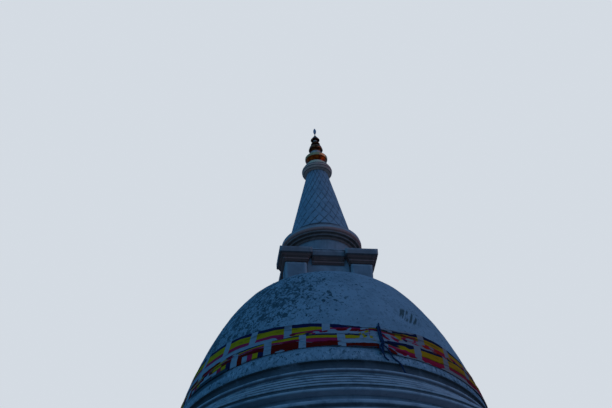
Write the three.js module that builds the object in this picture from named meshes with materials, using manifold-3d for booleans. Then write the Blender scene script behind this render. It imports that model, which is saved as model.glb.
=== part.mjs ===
// A small plastered dagoba: basal rings, a bell dome, a square harmika with corner piers,
// a round drum, a conical spire and a gilded finial, with a band of flag cloth tied round the dome.
// Millimetres, +Z up. The origin is the middle of the plinth's underside. Its front faces -Y.
import * as THREE from 'three';
import { mergeVertices } from 'three/addons/utils/BufferGeometryUtils.js';
import Module from 'manifold-3d';

// Driving dimensions: the ground rings, widest at the ground
const PLINTH_RADIUS = 6300;
const PLINTH_TOP = 260;
const LOWER_RING_RADIUS = 5960;
const LOWER_RING_TOP = 700;
const MIDDLE_RING_RADIUS = 5620;
const MIDDLE_RING_TOP = 1130;
const UPPER_WALL_RADIUS = 5040;
const UPPER_WALL_TOP = 1560;
const WALL_GROOVE_HEIGHT = 1416;
const WALL_SET_BACK = 110;

// The stepped mouldings from the big lip up to the ring at the dome's neck
const LIP_RADIUS = 5280;
const LIP_HEIGHT = 90;
const LIP_LEDGE = 120;
const STEPS_TOP = 2590;
const STEPS_TOP_RADIUS = 4390;
const STEP_COUNT = 5;
const NOSING_REACH = 40;
const NOSING_HEIGHT = 60;
const NECK_LIP_RADIUS = 4500;
const NECK_LIP_HEIGHT = 80;
const NECK_RADIUS = 4230;

// The dome is the upper part of an ellipsoid of revolution, flattened towards its crown
const DOME_RADIUS = 5010;
const DOME_RISE = 10500;
const DOME_CENTRE = -2160;
const DOME_FOOT = 2985;
const DOME_COURSES = 16;
const CROWN_START = 6800;
const CROWN_SPREAD = 2860;

// The harmika is square in plan and is set down into the dome's crown
const HARMIKA_SEAT = 7300;
const HARMIKA_TOP = 8580;
const CORNICE_HALF = 1410;
const CORNICE_HEIGHT = 440;
const FASCIA_HEIGHT = 206;
const CORNICE_REACH = 160;
const CORNICE_STEPS = 4;
const PIER_SIDE = 620;
const BAY_RECESS = 150;
const ROOF_HALF = 1240;
const ROOF_THICKNESS = 60;

// The drum
const DRUM_RADIUS = 930;
const DRUM_WALL_TOP = 9195;
const CORBEL_COUNT = 3;
const DRUM_LIP_RADIUS = 1185;
const DRUM_LIP_LOW = 9385;
const DRUM_TOP = 9570;

// The spire and its collar
const SPIRE_FOOT_RADIUS = 1000;
const SPIRE_FLARE_HEIGHT = 150;
const SPIRE_FLARE_RADIUS = 948;
const SPIRE_TOP_RADIUS = 320;
const SPIRE_TOP = 12240;
const COLLAR_RADIUS = 458;
const COLLAR_LOW = 12258;
const COLLAR_WIDEST = 12385;
const COLLAR_TOP = 12650;

// The finial
const BOWL_FOOT_RADIUS = 285;
const RIM_RADIUS = 340;
const RIM_LOW = 12810;
const RIM_TOP = 12925;
const CRYSTAL_TOP = 14085;

// The cloth band and the rope that ties it. Azimuths run from the front, -Y, towards +X
const CLOTH_THICKNESS = 30;
const CLOTH_STANDOFF = 2.4;
const CLOTH_ROWS = 3;
const CLOTH_TILT = 190;
const TOP_EDGE = 4430;
const TOP_DIP = 250;
const TOP_DIP_AZIMUTH = 6;
const TOP_DIP_SPREAD = 14;
const SEAM = 3855;
const SEAM_HALF_GAP = 12;
const LOW_EDGE = 3365;
const LOW_STEP = 95;
const LOW_STEP_SPREAD = 2;
const LIFT_SPREAD = 4.5;
const ROPE_AZIMUTH = 10;
const ROPE_DIAMETER = 36;
const ROPE_SIDES = 8;
const ROPE_SLACK = 6;
const KNOT_HEIGHT = 3530;
const KNOT_HALF_HEIGHT = 60;
const KNOT_HALF_WIDTH = 45;
const KNOT_CLEARANCE = 4;

const GAP = 0.3;
const BASE_SEGMENTS = 60;
const CLOTH_SEGMENTS = 120;
const DRUM_SEGMENTS = 40;
const FINIAL_SEGMENTS = 16;

const wasm = await Module();
wasm.setup();

const plaster = new THREE.MeshStandardMaterial({ color: 0xb9bcc2, roughness: 0.9, metalness: 0 });
const weathered = new THREE.MeshStandardMaterial({ color: 0x8f9298, roughness: 0.92, metalness: 0 });
const greyPaint = new THREE.MeshStandardMaterial({ color: 0x8b8d93, roughness: 0.6, metalness: 0 });
const gilt = new THREE.MeshStandardMaterial({ color: 0xc08a2c, roughness: 0.3, metalness: 1 });
const pale = new THREE.MeshStandardMaterial({ color: 0xd8d4cc, roughness: 0.4, metalness: 0.4 });
const quartz = new THREE.MeshStandardMaterial({ color: 0x7f9ad8, roughness: 0.1, metalness: 0 });
const cloth = new THREE.MeshStandardMaterial({ color: 0xe0c030, roughness: 0.85, metalness: 0 });
const rope = new THREE.MeshStandardMaterial({ color: 0x24407a, roughness: 0.8, metalness: 0 });

const dagoba = new THREE.Group();

function addMesh(name, geometry, material, x = 0, y = 0, z = 0) {
  const mesh = new THREE.Mesh(geometry, material);
  mesh.name = name;
  mesh.position.set(x, y, z);
  dagoba.add(mesh);
}

// A solid of revolution about Z. The profile runs upwards from axis to axis as [radius, height] pairs.
function turned(profile, segments) {
  const points = profile.map(([radius, height]) => new THREE.Vector2(radius, height));
  return new THREE.LatheGeometry(points, segments).rotateX(Math.PI / 2);
}

// The same on a square plan: the first number of each pair is the half-width
function squareTurned(profile) {
  const corners = profile.map(([half, height]) => [half * Math.SQRT2, height]);
  return turned(corners, 4).rotateZ(Math.PI / 4);
}

// Boolean cuts
function toSolid(geometry) {
  const bare = geometry.clone();
  bare.deleteAttribute('normal');
  bare.deleteAttribute('uv');
  const merged = mergeVertices(bare.index ? bare.toNonIndexed() : bare, 1e-3);
  const corners = merged.index.array;
  const faces = [];
  for (let i = 0; i < corners.length; i += 3) {
    const [a, b, c] = [corners[i], corners[i + 1], corners[i + 2]];
    if (a !== b && b !== c && c !== a) faces.push(a, b, c);
  }
  return new wasm.Manifold(new wasm.Mesh({
    numProp: 3,
    vertProperties: new Float32Array(merged.attributes.position.array),
    triVerts: new Uint32Array(faces),
  }));
}

function toGeometry(solid) {
  const mesh = solid.getMesh();
  const geometry = new THREE.BufferGeometry();
  geometry.setAttribute('position', new THREE.BufferAttribute(mesh.vertProperties, 3));
  geometry.setIndex(new THREE.BufferAttribute(mesh.triVerts, 1));
  geometry.computeVertexNormals();
  return geometry;
}

function boxGeometry(xLow, xHigh, yLow, yHigh, zLow, zHigh) {
  const geometry = new THREE.BoxGeometry(xHigh - xLow, yHigh - yLow, zHigh - zLow);
  return geometry.translate((xLow + xHigh) / 2, (yLow + yHigh) / 2, (zLow + zHigh) / 2);
}

// The ground rings

// A drum of masonry whose wall stands back under a rounded lip
function basalRing(low, high, radius) {
  const lip = 0.3 * (high - low);
  const wall = radius - WALL_SET_BACK;
  return turned([
    [0, low],
    [wall, low],
    [wall, high - lip],
    [radius, high - 0.85 * lip],
    [radius, high - 0.25 * lip],
    [radius - 0.3 * lip, high],
    [0, high],
  ], BASE_SEGMENTS);
}

function addGroundRings() {
  const edge = 30;
  addMesh('plinth', turned([
    [0, 0],
    [PLINTH_RADIUS, 0],
    [PLINTH_RADIUS, PLINTH_TOP - edge],
    [PLINTH_RADIUS - edge, PLINTH_TOP],
    [0, PLINTH_TOP],
  ], BASE_SEGMENTS), weathered);
  const lowerRing = basalRing(PLINTH_TOP + GAP, LOWER_RING_TOP, LOWER_RING_RADIUS);
  addMesh('lower_basal_ring', lowerRing, weathered);
  const middleRing = basalRing(LOWER_RING_TOP + GAP, MIDDLE_RING_TOP, MIDDLE_RING_RADIUS);
  addMesh('middle_basal_ring', middleRing, weathered);
  const groove = 25;
  addMesh('upper_basal_ring', turned([
    [0, MIDDLE_RING_TOP + GAP],
    [UPPER_WALL_RADIUS, MIDDLE_RING_TOP + GAP],
    [UPPER_WALL_RADIUS, WALL_GROOVE_HEIGHT - groove],
    [UPPER_WALL_RADIUS - groove, WALL_GROOVE_HEIGHT],
    [UPPER_WALL_RADIUS, WALL_GROOVE_HEIGHT + groove],
    [UPPER_WALL_RADIUS, UPPER_WALL_TOP],
    [0, UPPER_WALL_TOP],
  ], BASE_SEGMENTS), weathered);
}

// Courses that step in towards the dome, each with a thin nosing along its top
function addSteppedMoulding() {
  const lipTop = UPPER_WALL_TOP + LIP_HEIGHT;
  const firstRadius = LIP_RADIUS - LIP_LEDGE;
  const rise = (STEPS_TOP - lipTop) / STEP_COUNT;
  const profile = [[0, UPPER_WALL_TOP + GAP], [LIP_RADIUS, UPPER_WALL_TOP + GAP], [LIP_RADIUS, lipTop]];
  for (let i = 0; i < STEP_COUNT; i += 1) {
    const radius = THREE.MathUtils.lerp(firstRadius, STEPS_TOP_RADIUS, i / (STEP_COUNT - 1));
    const top = lipTop + (i + 1) * rise;
    profile.push([radius, top - rise]);
    profile.push([radius, top - NOSING_HEIGHT]);
    profile.push([radius + NOSING_REACH, top - NOSING_HEIGHT]);
    profile.push([radius + NOSING_REACH, top]);
  }
  profile.push([0, STEPS_TOP]);
  addMesh('stepped_moulding', turned(profile, BASE_SEGMENTS), weathered);
}

// A projecting ring, then a hollow cove under the dome's foot
function addNeckRing() {
  const lipTop = STEPS_TOP + NECK_LIP_HEIGHT;
  const coveSteps = 4;
  const profile = [[0, STEPS_TOP + GAP], [NECK_LIP_RADIUS, STEPS_TOP + GAP], [NECK_LIP_RADIUS, lipTop]];
  for (let i = 0; i <= coveSteps; i += 1) {
    const turn = (i / coveSteps) * (Math.PI / 2);
    const radius = NECK_RADIUS + (domeRadius(DOME_FOOT) - NECK_RADIUS) * (1 - Math.cos(turn));
    profile.push([radius, lipTop + (DOME_FOOT - lipTop) * Math.sin(turn)]);
  }
  profile.push([0, DOME_FOOT]);
  addMesh('dome_neck_ring', turned(profile, BASE_SEGMENTS), weathered);
}

// The dome

// Its radius at a height below the crown
function domeRadius(height) {
  const share = (height - DOME_CENTRE) / DOME_RISE;
  return DOME_RADIUS * Math.sqrt(Math.max(0, 1 - share * share));
}

// A point off the dome's face, by azimuth in degrees, height and distance out
function offDome(azimuth, height, out) {
  const angle = THREE.MathUtils.degToRad(azimuth);
  const radius = domeRadius(height) + out;
  return new THREE.Vector3(radius * Math.sin(angle), -radius * Math.cos(angle), height);
}

function flattenedCrown(height) {
  const above = Math.max(0, height - CROWN_START);
  return height - above ** 2 / CROWN_SPREAD;
}

// The dome's crown is cut to a square seat for the harmika
function addDome() {
  const footTurn = Math.asin((DOME_FOOT + GAP - DOME_CENTRE) / DOME_RISE);
  const profile = [[0, DOME_FOOT + GAP]];
  for (let i = 0; i <= DOME_COURSES; i += 1) {
    const turn = THREE.MathUtils.lerp(footTurn, Math.PI / 2, i / DOME_COURSES);
    const radius = i === DOME_COURSES ? 0 : DOME_RADIUS * Math.cos(turn);
    profile.push([radius, flattenedCrown(DOME_CENTRE + DOME_RISE * Math.sin(turn))]);
  }
  const half = CORNICE_HALF - CORNICE_REACH + GAP;
  const seat = boxGeometry(-half, half, -half, half, HARMIKA_SEAT, HARMIKA_TOP);
  const cut = toSolid(turned(profile, BASE_SEGMENTS)).subtract(toSolid(seat));
  addMesh('dome', toGeometry(cut), plaster);
}

// The harmika

const PIER_OUTER = CORNICE_HALF - CORNICE_REACH;
const PIER_INNER = PIER_OUTER - PIER_SIDE;
const PIER_CENTRE = (PIER_OUTER + PIER_INNER) / 2;
const BAY_FACE = PIER_OUTER - BAY_RECESS;
const CORNICE_LOW = HARMIKA_TOP - CORNICE_HEIGHT;
const FASCIA_LOW = HARMIKA_TOP - FASCIA_HEIGHT;
const CORNERS = [['front_left', -1, -1], ['front_right', 1, -1], ['back_right', 1, 1], ['back_left', -1, 1]];
const BAYS = [['front', 0], ['right', 90], ['back', 180], ['left', 270]];

// A cross in plan, so that its four arms are the bay walls between the piers
function crossShape(armHalf, reach) {
  const shape = new THREE.Shape();
  shape.moveTo(-armHalf, -reach);
  shape.lineTo(armHalf, -reach);
  shape.lineTo(armHalf, -armHalf);
  shape.lineTo(reach, -armHalf);
  shape.lineTo(reach, armHalf);
  shape.lineTo(armHalf, armHalf);
  shape.lineTo(armHalf, reach);
  shape.lineTo(-armHalf, reach);
  shape.lineTo(-armHalf, armHalf);
  shape.lineTo(-reach, armHalf);
  shape.lineTo(-reach, -armHalf);
  shape.lineTo(-armHalf, -armHalf);
  return shape;
}

function crossBlock(armHalf, reach, low, high) {
  const depth = high - low;
  const block = new THREE.ExtrudeGeometry(crossShape(armHalf, reach), { depth, bevelEnabled: false });
  return block.translate(0, 0, low);
}

// Corbelled steps under a plain fascia, as [reach, height] pairs from the wall out
function corniceSteps(reach) {
  const steps = [];
  const rise = (FASCIA_LOW - CORNICE_LOW) / CORNICE_STEPS;
  const firstReach = 30;
  for (let i = 0; i < CORNICE_STEPS; i += 1) {
    const out = THREE.MathUtils.lerp(firstReach, 0.68 * reach, i / (CORNICE_STEPS - 1));
    steps.push([out, CORNICE_LOW + i * rise]);
    steps.push([out, CORNICE_LOW + (i + 1) * rise]);
  }
  steps.push([reach, FASCIA_LOW]);
  steps.push([reach, HARMIKA_TOP]);
  return steps;
}

function addHarmikaBody() {
  const seat = HARMIKA_SEAT + GAP;
  addMesh('harmika_core', crossBlock(PIER_INNER - GAP, BAY_FACE, seat, HARMIKA_TOP), plaster);
  for (const [corner, sideX, sideY] of CORNERS) {
    const side = PIER_SIDE - GAP;
    const pier = new THREE.BoxGeometry(side, side, CORNICE_LOW - GAP - seat);
    const middle = (seat + CORNICE_LOW - GAP) / 2;
    addMesh(`pier_${corner}`, pier, plaster, sideX * PIER_CENTRE, sideY * PIER_CENTRE, middle);
  }
}

// Each pier's cornice also runs a little way over the bays beside it
function addPierCornices() {
  const half = PIER_SIDE / 2;
  const steps = corniceSteps(CORNICE_REACH).map(([out, height]) => [half + out, height]);
  const profile = [[0, CORNICE_LOW], ...steps, [0, HARMIKA_TOP]];
  const core = toSolid(crossBlock(PIER_INNER, BAY_FACE + GAP, HARMIKA_SEAT, HARMIKA_TOP + 1));
  for (const [corner, sideX, sideY] of CORNERS) {
    const block = squareTurned(profile).translate(sideX * PIER_CENTRE, sideY * PIER_CENTRE, 0);
    addMesh(`pier_cornice_${corner}`, toGeometry(toSolid(block).subtract(core)), plaster);
  }
}

function addBayCornices() {
  const half = PIER_INNER - CORNICE_REACH - GAP;
  const section = new THREE.Shape();
  section.moveTo(BAY_FACE + GAP, CORNICE_LOW);
  for (const [out, height] of corniceSteps(CORNICE_REACH)) section.lineTo(BAY_FACE + out, height);
  section.lineTo(BAY_FACE + GAP, HARMIKA_TOP);
  const beam = new THREE.ExtrudeGeometry(section, { depth: 2 * half, bevelEnabled: false });
  beam.translate(0, 0, -half).rotateX(Math.PI / 2);
  for (const [bay, degrees] of BAYS) {
    const turn = THREE.MathUtils.degToRad(degrees - 90);
    addMesh(`bay_cornice_${bay}`, beam.clone().rotateZ(turn), plaster);
  }
}

function addHarmikaRoof() {
  const low = HARMIKA_TOP + GAP;
  const roof = boxGeometry(-ROOF_HALF, ROOF_HALF, -ROOF_HALF, ROOF_HALF, low, low + ROOF_THICKNESS);
  addMesh('harmika_roof', roof, weathered);
}

// The drum

function addDrum() {
  const foot = HARMIKA_TOP + ROOF_THICKNESS + 2 * GAP;
  addMesh('drum_wall', turned([
    [0, foot],
    [DRUM_RADIUS, foot],
    [DRUM_RADIUS, DRUM_WALL_TOP],
    [0, DRUM_WALL_TOP],
  ], DRUM_SEGMENTS), plaster);
  const corbels = [[0, DRUM_WALL_TOP + GAP]];
  const rise = (DRUM_LIP_LOW - DRUM_WALL_TOP) / CORBEL_COUNT;
  for (let i = 0; i < CORBEL_COUNT; i += 1) {
    const radius = DRUM_RADIUS + ((i + 0.6) / CORBEL_COUNT) * (DRUM_LIP_RADIUS - DRUM_RADIUS);
    corbels.push([radius, DRUM_WALL_TOP + i * rise + GAP]);
    corbels.push([radius, DRUM_WALL_TOP + (i + 1) * rise]);
  }
  corbels.push([0, DRUM_LIP_LOW]);
  addMesh('drum_corbels', turned(corbels, DRUM_SEGMENTS), plaster);
  const groove = 20;
  const grooveLow = DRUM_TOP - 50;
  addMesh('drum_lip', turned([
    [0, DRUM_LIP_LOW + GAP],
    [DRUM_LIP_RADIUS, DRUM_LIP_LOW + GAP],
    [DRUM_LIP_RADIUS, grooveLow],
    [DRUM_LIP_RADIUS - groove, grooveLow],
    [DRUM_LIP_RADIUS - groove, DRUM_TOP],
    [0, DRUM_TOP],
  ], DRUM_SEGMENTS), plaster);
}

// The spire

function addSpire() {
  const flareSteps = 4;
  const profile = [[0, DRUM_TOP + GAP]];
  for (let i = 0; i <= flareSteps; i += 1) {
    const share = i / flareSteps;
    const radius = SPIRE_FLARE_RADIUS + (SPIRE_FOOT_RADIUS - SPIRE_FLARE_RADIUS) * (1 - share) ** 2;
    profile.push([radius, DRUM_TOP + GAP + share * SPIRE_FLARE_HEIGHT]);
  }
  profile.push([SPIRE_TOP_RADIUS, SPIRE_TOP]);
  profile.push([0, SPIRE_TOP]);
  addMesh('spire', turned(profile, DRUM_SEGMENTS), plaster);
}

// A bulging cushion of thin rings, nearly flat underneath, on the spire's top
function addCollar() {
  const seat = SPIRE_TOP + GAP;
  const shoulder = COLLAR_WIDEST + 60;
  const topRadius = BOWL_FOOT_RADIUS + 10;
  const profile = [
    [0, seat],
    [SPIRE_TOP_RADIUS + 12, seat],
    [COLLAR_RADIUS - 50, COLLAR_LOW],
    [COLLAR_RADIUS - 12, COLLAR_LOW + 34],
    [COLLAR_RADIUS, COLLAR_LOW + 90],
    [COLLAR_RADIUS, COLLAR_WIDEST],
    [COLLAR_RADIUS - 20, shoulder],
  ];
  const rings = 3;
  const rise = (COLLAR_TOP - shoulder) / rings;
  for (let i = 0; i < rings; i += 1) {
    const radius = THREE.MathUtils.lerp(COLLAR_RADIUS - 50, topRadius, i / (rings - 1));
    profile.push([radius, shoulder + i * rise]);
    profile.push([radius - 10, shoulder + (i + 1) * rise]);
  }
  profile.push([0, COLLAR_TOP]);
  addMesh('spire_collar', turned(profile, DRUM_SEGMENTS), greyPaint);
}

// The finial, a stack of turned pieces from the bowl up: name, material and [radius, height] pairs
function addFinial() {
  const pieces = [
    ['gilt_bowl', gilt, [[BOWL_FOOT_RADIUS, COLLAR_TOP], [BOWL_FOOT_RADIUS - 15, 12690],
      [RIM_RADIUS - 30, RIM_LOW - 30], [RIM_RADIUS - 12, RIM_LOW]]],
    ['gilt_rim', gilt, [[RIM_RADIUS - 8, RIM_LOW], [RIM_RADIUS, RIM_LOW + 25], [RIM_RADIUS, RIM_TOP - 30],
      [RIM_RADIUS - 25, RIM_TOP]]],
    ['pale_band', pale, [[150, RIM_TOP], [140, 12960], [140, 13110], [148, 13136]]],
    ['finial_throat', gilt, [[150, 13136], [160, 13165], [196, 13200]]],
    ['lower_tier', gilt, [[200, 13200], [217, 13215], [212, 13245], [182, 13340], [146, 13372],
      [102, 13410]]],
    ['upper_tier', gilt, [[100, 13410], [145, 13434], [140, 13456], [90, 13528]]],
    ['finial_neck', pale, [[66, 13528], [56, 13555], [62, 13592]]],
    ['gilt_cap', gilt, [[74, 13592], [140, 13614], [135, 13636], [80, 13716], [36, 13782], [14, 13822]]],
    ['crystal_pin', gilt, [[12, 13822], [10, 13850], [20, 13872]]],
    ['crystal', quartz, [[20, 13872], [42, 13925], [46, 13975], [38, 14035], [12, CRYSTAL_TOP]]],
  ];
  for (const [name, material, outline] of pieces) {
    const seated = outline.map(([radius, height], i) => [radius, i === 0 ? height + GAP : height]);
    const low = seated[0][1];
    const high = seated.at(-1)[1];
    addMesh(name, turned([[0, low], ...seated, [0, high]], FINIAL_SEGMENTS), material);
  }
}

// The flag cloth

function fromRope(azimuth) {
  return THREE.MathUtils.euclideanModulo(azimuth - ROPE_AZIMUTH + 180, 360) - 180;
}

// The band hangs lower on the right, and the rope draws its top edge down
function clothTilt(azimuth) {
  return -CLOTH_TILT * Math.sin(THREE.MathUtils.degToRad(azimuth));
}

function topEdge(azimuth) {
  const fromDip = THREE.MathUtils.euclideanModulo(azimuth - TOP_DIP_AZIMUTH + 180, 360) - 180;
  return TOP_EDGE + clothTilt(azimuth) - TOP_DIP * Math.exp(-((fromDip / TOP_DIP_SPREAD) ** 2));
}

function seam(azimuth) {
  return SEAM + clothTilt(azimuth);
}

// The lower edge drops where the rope gathers it and climbs again round the back
function lowEdge(azimuth) {
  const turn = fromRope(azimuth);
  const fade = Math.cos(THREE.MathUtils.degToRad(turn / 2)) ** 2;
  return LOW_EDGE - LOW_STEP * Math.tanh(turn / LOW_STEP_SPREAD) * fade;
}

// The rope's inner strand lifts the cloth off the dome
function clothLift(azimuth) {
  return (ROPE_DIAMETER + ROPE_SLACK) * Math.exp(-((fromRope(azimuth) / LIFT_SPREAD) ** 2));
}

// A closed band round the dome: a thin section turned about the axis, then laid on the dome's face.
// The section's height runs from 0 at the band's lower line to 1 at its upper one
function clothBand(lowLine, highLine) {
  const outside = [];
  const inside = [];
  for (let i = 0; i <= CLOTH_ROWS; i += 1) {
    outside.push(new THREE.Vector2(DOME_RADIUS + CLOTH_THICKNESS, i / CLOTH_ROWS));
    inside.unshift(new THREE.Vector2(DOME_RADIUS, i / CLOTH_ROWS));
  }
  const section = [inside.at(-1), ...outside, ...inside];
  const start = THREE.MathUtils.degToRad(ROPE_AZIMUTH);
  const band = new THREE.LatheGeometry(section, CLOTH_SEGMENTS, start).rotateX(Math.PI / 2);
  const place = band.attributes.position;
  for (let i = 0; i < place.count; i += 1) {
    const azimuth = THREE.MathUtils.radToDeg(Math.atan2(place.getX(i), -place.getY(i)));
    const height = THREE.MathUtils.lerp(lowLine(azimuth), highLine(azimuth), place.getZ(i));
    const out = Math.hypot(place.getX(i), place.getY(i)) - DOME_RADIUS + CLOTH_STANDOFF;
    const point = offDome(azimuth, height, out + clothLift(azimuth));
    place.setXYZ(i, point.x, point.y, point.z);
  }
  return band;
}

function addCloth() {
  const overSeam = (azimuth) => seam(azimuth) + SEAM_HALF_GAP;
  const underSeam = (azimuth) => seam(azimuth) - SEAM_HALF_GAP;
  addMesh('flag_cloth_upper', clothBand(overSeam, topEdge), cloth);
  addMesh('flag_cloth_lower', clothBand(lowEdge, underSeam), cloth);
}

// The rope

const BACK_STRAND = ROPE_DIAMETER / 2 + 5;
const DOME_LEAN = 1.04;
const KNOT_OUT = clothFace(ROPE_AZIMUTH) + KNOT_HALF_WIDTH + KNOT_CLEARANCE;
const KNOT_CENTRE = offDome(ROPE_AZIMUTH, KNOT_HEIGHT, KNOT_OUT);

// The cloth's outer face, as a distance out from the dome's
function clothFace(azimuth) {
  return CLOTH_STANDOFF + clothLift(azimuth) + CLOTH_THICKNESS;
}

// The middle of a rope that lies on the cloth. The face leans, so a radius out is a little more than level
function onCloth(azimuth, height, clearance = 0.5) {
  return offDome(azimuth, height, clothFace(azimuth) + DOME_LEAN * (ROPE_DIAMETER / 2 + clearance));
}

function upTheCloth(azimuth, low, high, count) {
  const points = [];
  for (let i = 0; i < count; i += 1) {
    points.push(onCloth(azimuth, THREE.MathUtils.lerp(low, high, i / (count - 1))));
  }
  return points;
}

// Below the dome's foot a point is given by its own radius
function offAxis(azimuth, radius, height) {
  const angle = THREE.MathUtils.degToRad(azimuth);
  return new THREE.Vector3(radius * Math.sin(angle), -radius * Math.cos(angle), height);
}

// A point out from the knot's face. The turn runs from straight down, 0, to the right, 90, and up, 180
function offKnot(turn, out) {
  const angle = THREE.MathUtils.degToRad(turn);
  const side = KNOT_HALF_WIDTH ** 2 * Math.sin(angle);
  const down = KNOT_HALF_HEIGHT ** 2 * Math.cos(angle);
  const size = Math.hypot(KNOT_HALF_WIDTH * Math.sin(angle), KNOT_HALF_HEIGHT * Math.cos(angle));
  const along = side / size + out * Math.sin(angle);
  const azimuth = THREE.MathUtils.degToRad(ROPE_AZIMUTH);
  const tangent = new THREE.Vector3(Math.cos(azimuth), Math.sin(azimuth), 0);
  const point = KNOT_CENTRE.clone().addScaledVector(tangent, along);
  point.z -= down / size + out * Math.cos(angle);
  return point;
}

function ropeAlong(points, steps) {
  const section = new THREE.Shape();
  for (let i = 0; i < ROPE_SIDES; i += 1) {
    const turn = (i / ROPE_SIDES) * 2 * Math.PI;
    const x = (ROPE_DIAMETER / 2) * Math.cos(turn);
    const y = (ROPE_DIAMETER / 2) * Math.sin(turn);
    if (i === 0) section.moveTo(x, y);
    else section.lineTo(x, y);
  }
  const extrudePath = new THREE.CatmullRomCurve3(points, false, 'centripetal');
  return new THREE.ExtrudeGeometry(section, { steps, extrudePath, bevelEnabled: false });
}

// One turn round the whole band, from the knot up, over, down behind the cloth and back to the knot
function addLashing() {
  const front = clothFace(ROPE_AZIMUTH) + ROPE_DIAMETER / 2;
  const top = topEdge(ROPE_AZIMUTH);
  const low = lowEdge(ROPE_AZIMUTH);
  addMesh('rope_lashing', ropeAlong([
    offKnot(180, 0.5),
    offKnot(180, 40),
    offDome(ROPE_AZIMUTH, KNOT_HEIGHT + 150, front + 12),
    ...upTheCloth(ROPE_AZIMUTH, KNOT_HEIGHT + 220, top - 50, 5),
    offDome(ROPE_AZIMUTH, top + 28, front + 3),
    offDome(ROPE_AZIMUTH, top + 60, 60),
    offDome(ROPE_AZIMUTH, top + 28, BACK_STRAND + 2),
    offDome(ROPE_AZIMUTH, top - 90, BACK_STRAND),
    offDome(ROPE_AZIMUTH, (top + low) / 2, BACK_STRAND),
    offDome(ROPE_AZIMUTH, low + 150, BACK_STRAND),
    offDome(ROPE_AZIMUTH, low + 18, BACK_STRAND - 1),
    offDome(ROPE_AZIMUTH, low - 50, 34),
    offDome(ROPE_AZIMUTH, low - 68, 72),
    offDome(ROPE_AZIMUTH, low - 20, front + 14),
    onCloth(ROPE_AZIMUTH, low + 55, 6),
    offKnot(0, 45),
    offKnot(0, 0.5),
  ], 34), rope);
}

function addKnot() {
  const knot = new THREE.SphereGeometry(1, 12, 8).rotateX(Math.PI / 2);
  knot.scale(KNOT_HALF_WIDTH, KNOT_HALF_WIDTH, KNOT_HALF_HEIGHT);
  addMesh('rope_knot', knot, rope, KNOT_CENTRE.x, KNOT_CENTRE.y, KNOT_CENTRE.z);
}

// One end stands up past the band's top edge and two hang below the knot
function addRopeEnds() {
  const top = topEdge(ROPE_AZIMUTH);
  addMesh('rope_upper_end', ropeAlong([
    offKnot(120, -0.5),
    offKnot(120, 30),
    onCloth(11.0, 3655, 2),
    ...upTheCloth(10.75, KNOT_HEIGHT + 220, top - 50, 5),
    offDome(10.8, top + 24, clothFace(10.8) + 21),
    offDome(10.9, top + 80, 80),
    offDome(11.0, top + 126, 42),
    offDome(11.2, top + 190, BACK_STRAND + 1),
    offDome(11.5, top + 270, BACK_STRAND),
  ], 16), rope);
  addMesh('rope_tail', ropeAlong([
    offKnot(60, -0.5),
    offKnot(60, 40),
    onCloth(11.7, 3400, 9),
    onCloth(12.2, 3320, 12),
    offDome(12.7, 3245, 62),
    offDome(13.3, 3180, BACK_STRAND + 3),
    offDome(14.2, 3100, BACK_STRAND),
    offDome(15.2, 3035, BACK_STRAND),
    offAxis(15.9, 4390, 2960),
    offAxis(16.3, 4396, 2870),
    offAxis(16.7, 4404, 2780),
    offAxis(17.2, 4422, 2712),
    offAxis(17.9, 4440, 2691),
    offAxis(18.9, 4446, 2689),
    offAxis(19.9, 4438, 2689),
  ], 20), rope);
  addMesh('rope_short_end', ropeAlong([
    offKnot(-60, -0.5),
    offKnot(-60, 25),
    onCloth(9.0, 3400, 9),
    onCloth(9.3, 3330, 12),
    offDome(9.9, 3232, 80),
    offDome(10.4, 3160, BACK_STRAND + 3),
    offDome(11.0, 3090, BACK_STRAND),
    offDome(11.7, 3040, BACK_STRAND),
  ], 11), rope);
}

addGroundRings();
addSteppedMoulding();
addNeckRing();
addDome();
addHarmikaBody();
addPierCornices();
addBayCornices();
addHarmikaRoof();
addDrum();
addSpire();
addCollar();
addFinial();
addCloth();
addLashing();
addKnot();
addRopeEnds();

export default dagoba;
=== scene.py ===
"""Looks of a plastered dagoba: limewash, gilding, crystal, flag cloth and rope. In metres."""
import math

import bmesh
import bpy
import numpy as np
from mathutils import Matrix, Vector


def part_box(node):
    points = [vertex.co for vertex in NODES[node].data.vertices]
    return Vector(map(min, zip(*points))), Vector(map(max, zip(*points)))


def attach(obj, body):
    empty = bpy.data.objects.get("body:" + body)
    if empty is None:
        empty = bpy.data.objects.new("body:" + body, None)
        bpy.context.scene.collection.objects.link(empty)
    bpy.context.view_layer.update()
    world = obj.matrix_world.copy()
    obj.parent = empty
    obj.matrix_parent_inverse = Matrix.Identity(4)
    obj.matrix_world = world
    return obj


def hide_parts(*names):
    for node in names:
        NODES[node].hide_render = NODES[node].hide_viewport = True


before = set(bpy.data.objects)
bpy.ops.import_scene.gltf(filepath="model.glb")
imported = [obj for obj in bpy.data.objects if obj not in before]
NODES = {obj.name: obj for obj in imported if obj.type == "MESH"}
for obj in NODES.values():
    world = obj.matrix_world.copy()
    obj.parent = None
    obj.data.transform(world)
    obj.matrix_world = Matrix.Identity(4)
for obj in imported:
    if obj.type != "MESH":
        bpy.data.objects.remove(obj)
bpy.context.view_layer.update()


# The camera, floor and light

CAMERA_PLACE = Vector((-6.372, -40.228, -19.50))
CAMERA_HEADING = math.radians(8.464)
CAMERA_PITCH = math.radians(37)
CAMERA_ROLL = math.radians(-2.918)
LENS = 100
SENSOR = 36
NEAR_CLIP = 39.5
FAR_CLIP = 1000


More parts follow.
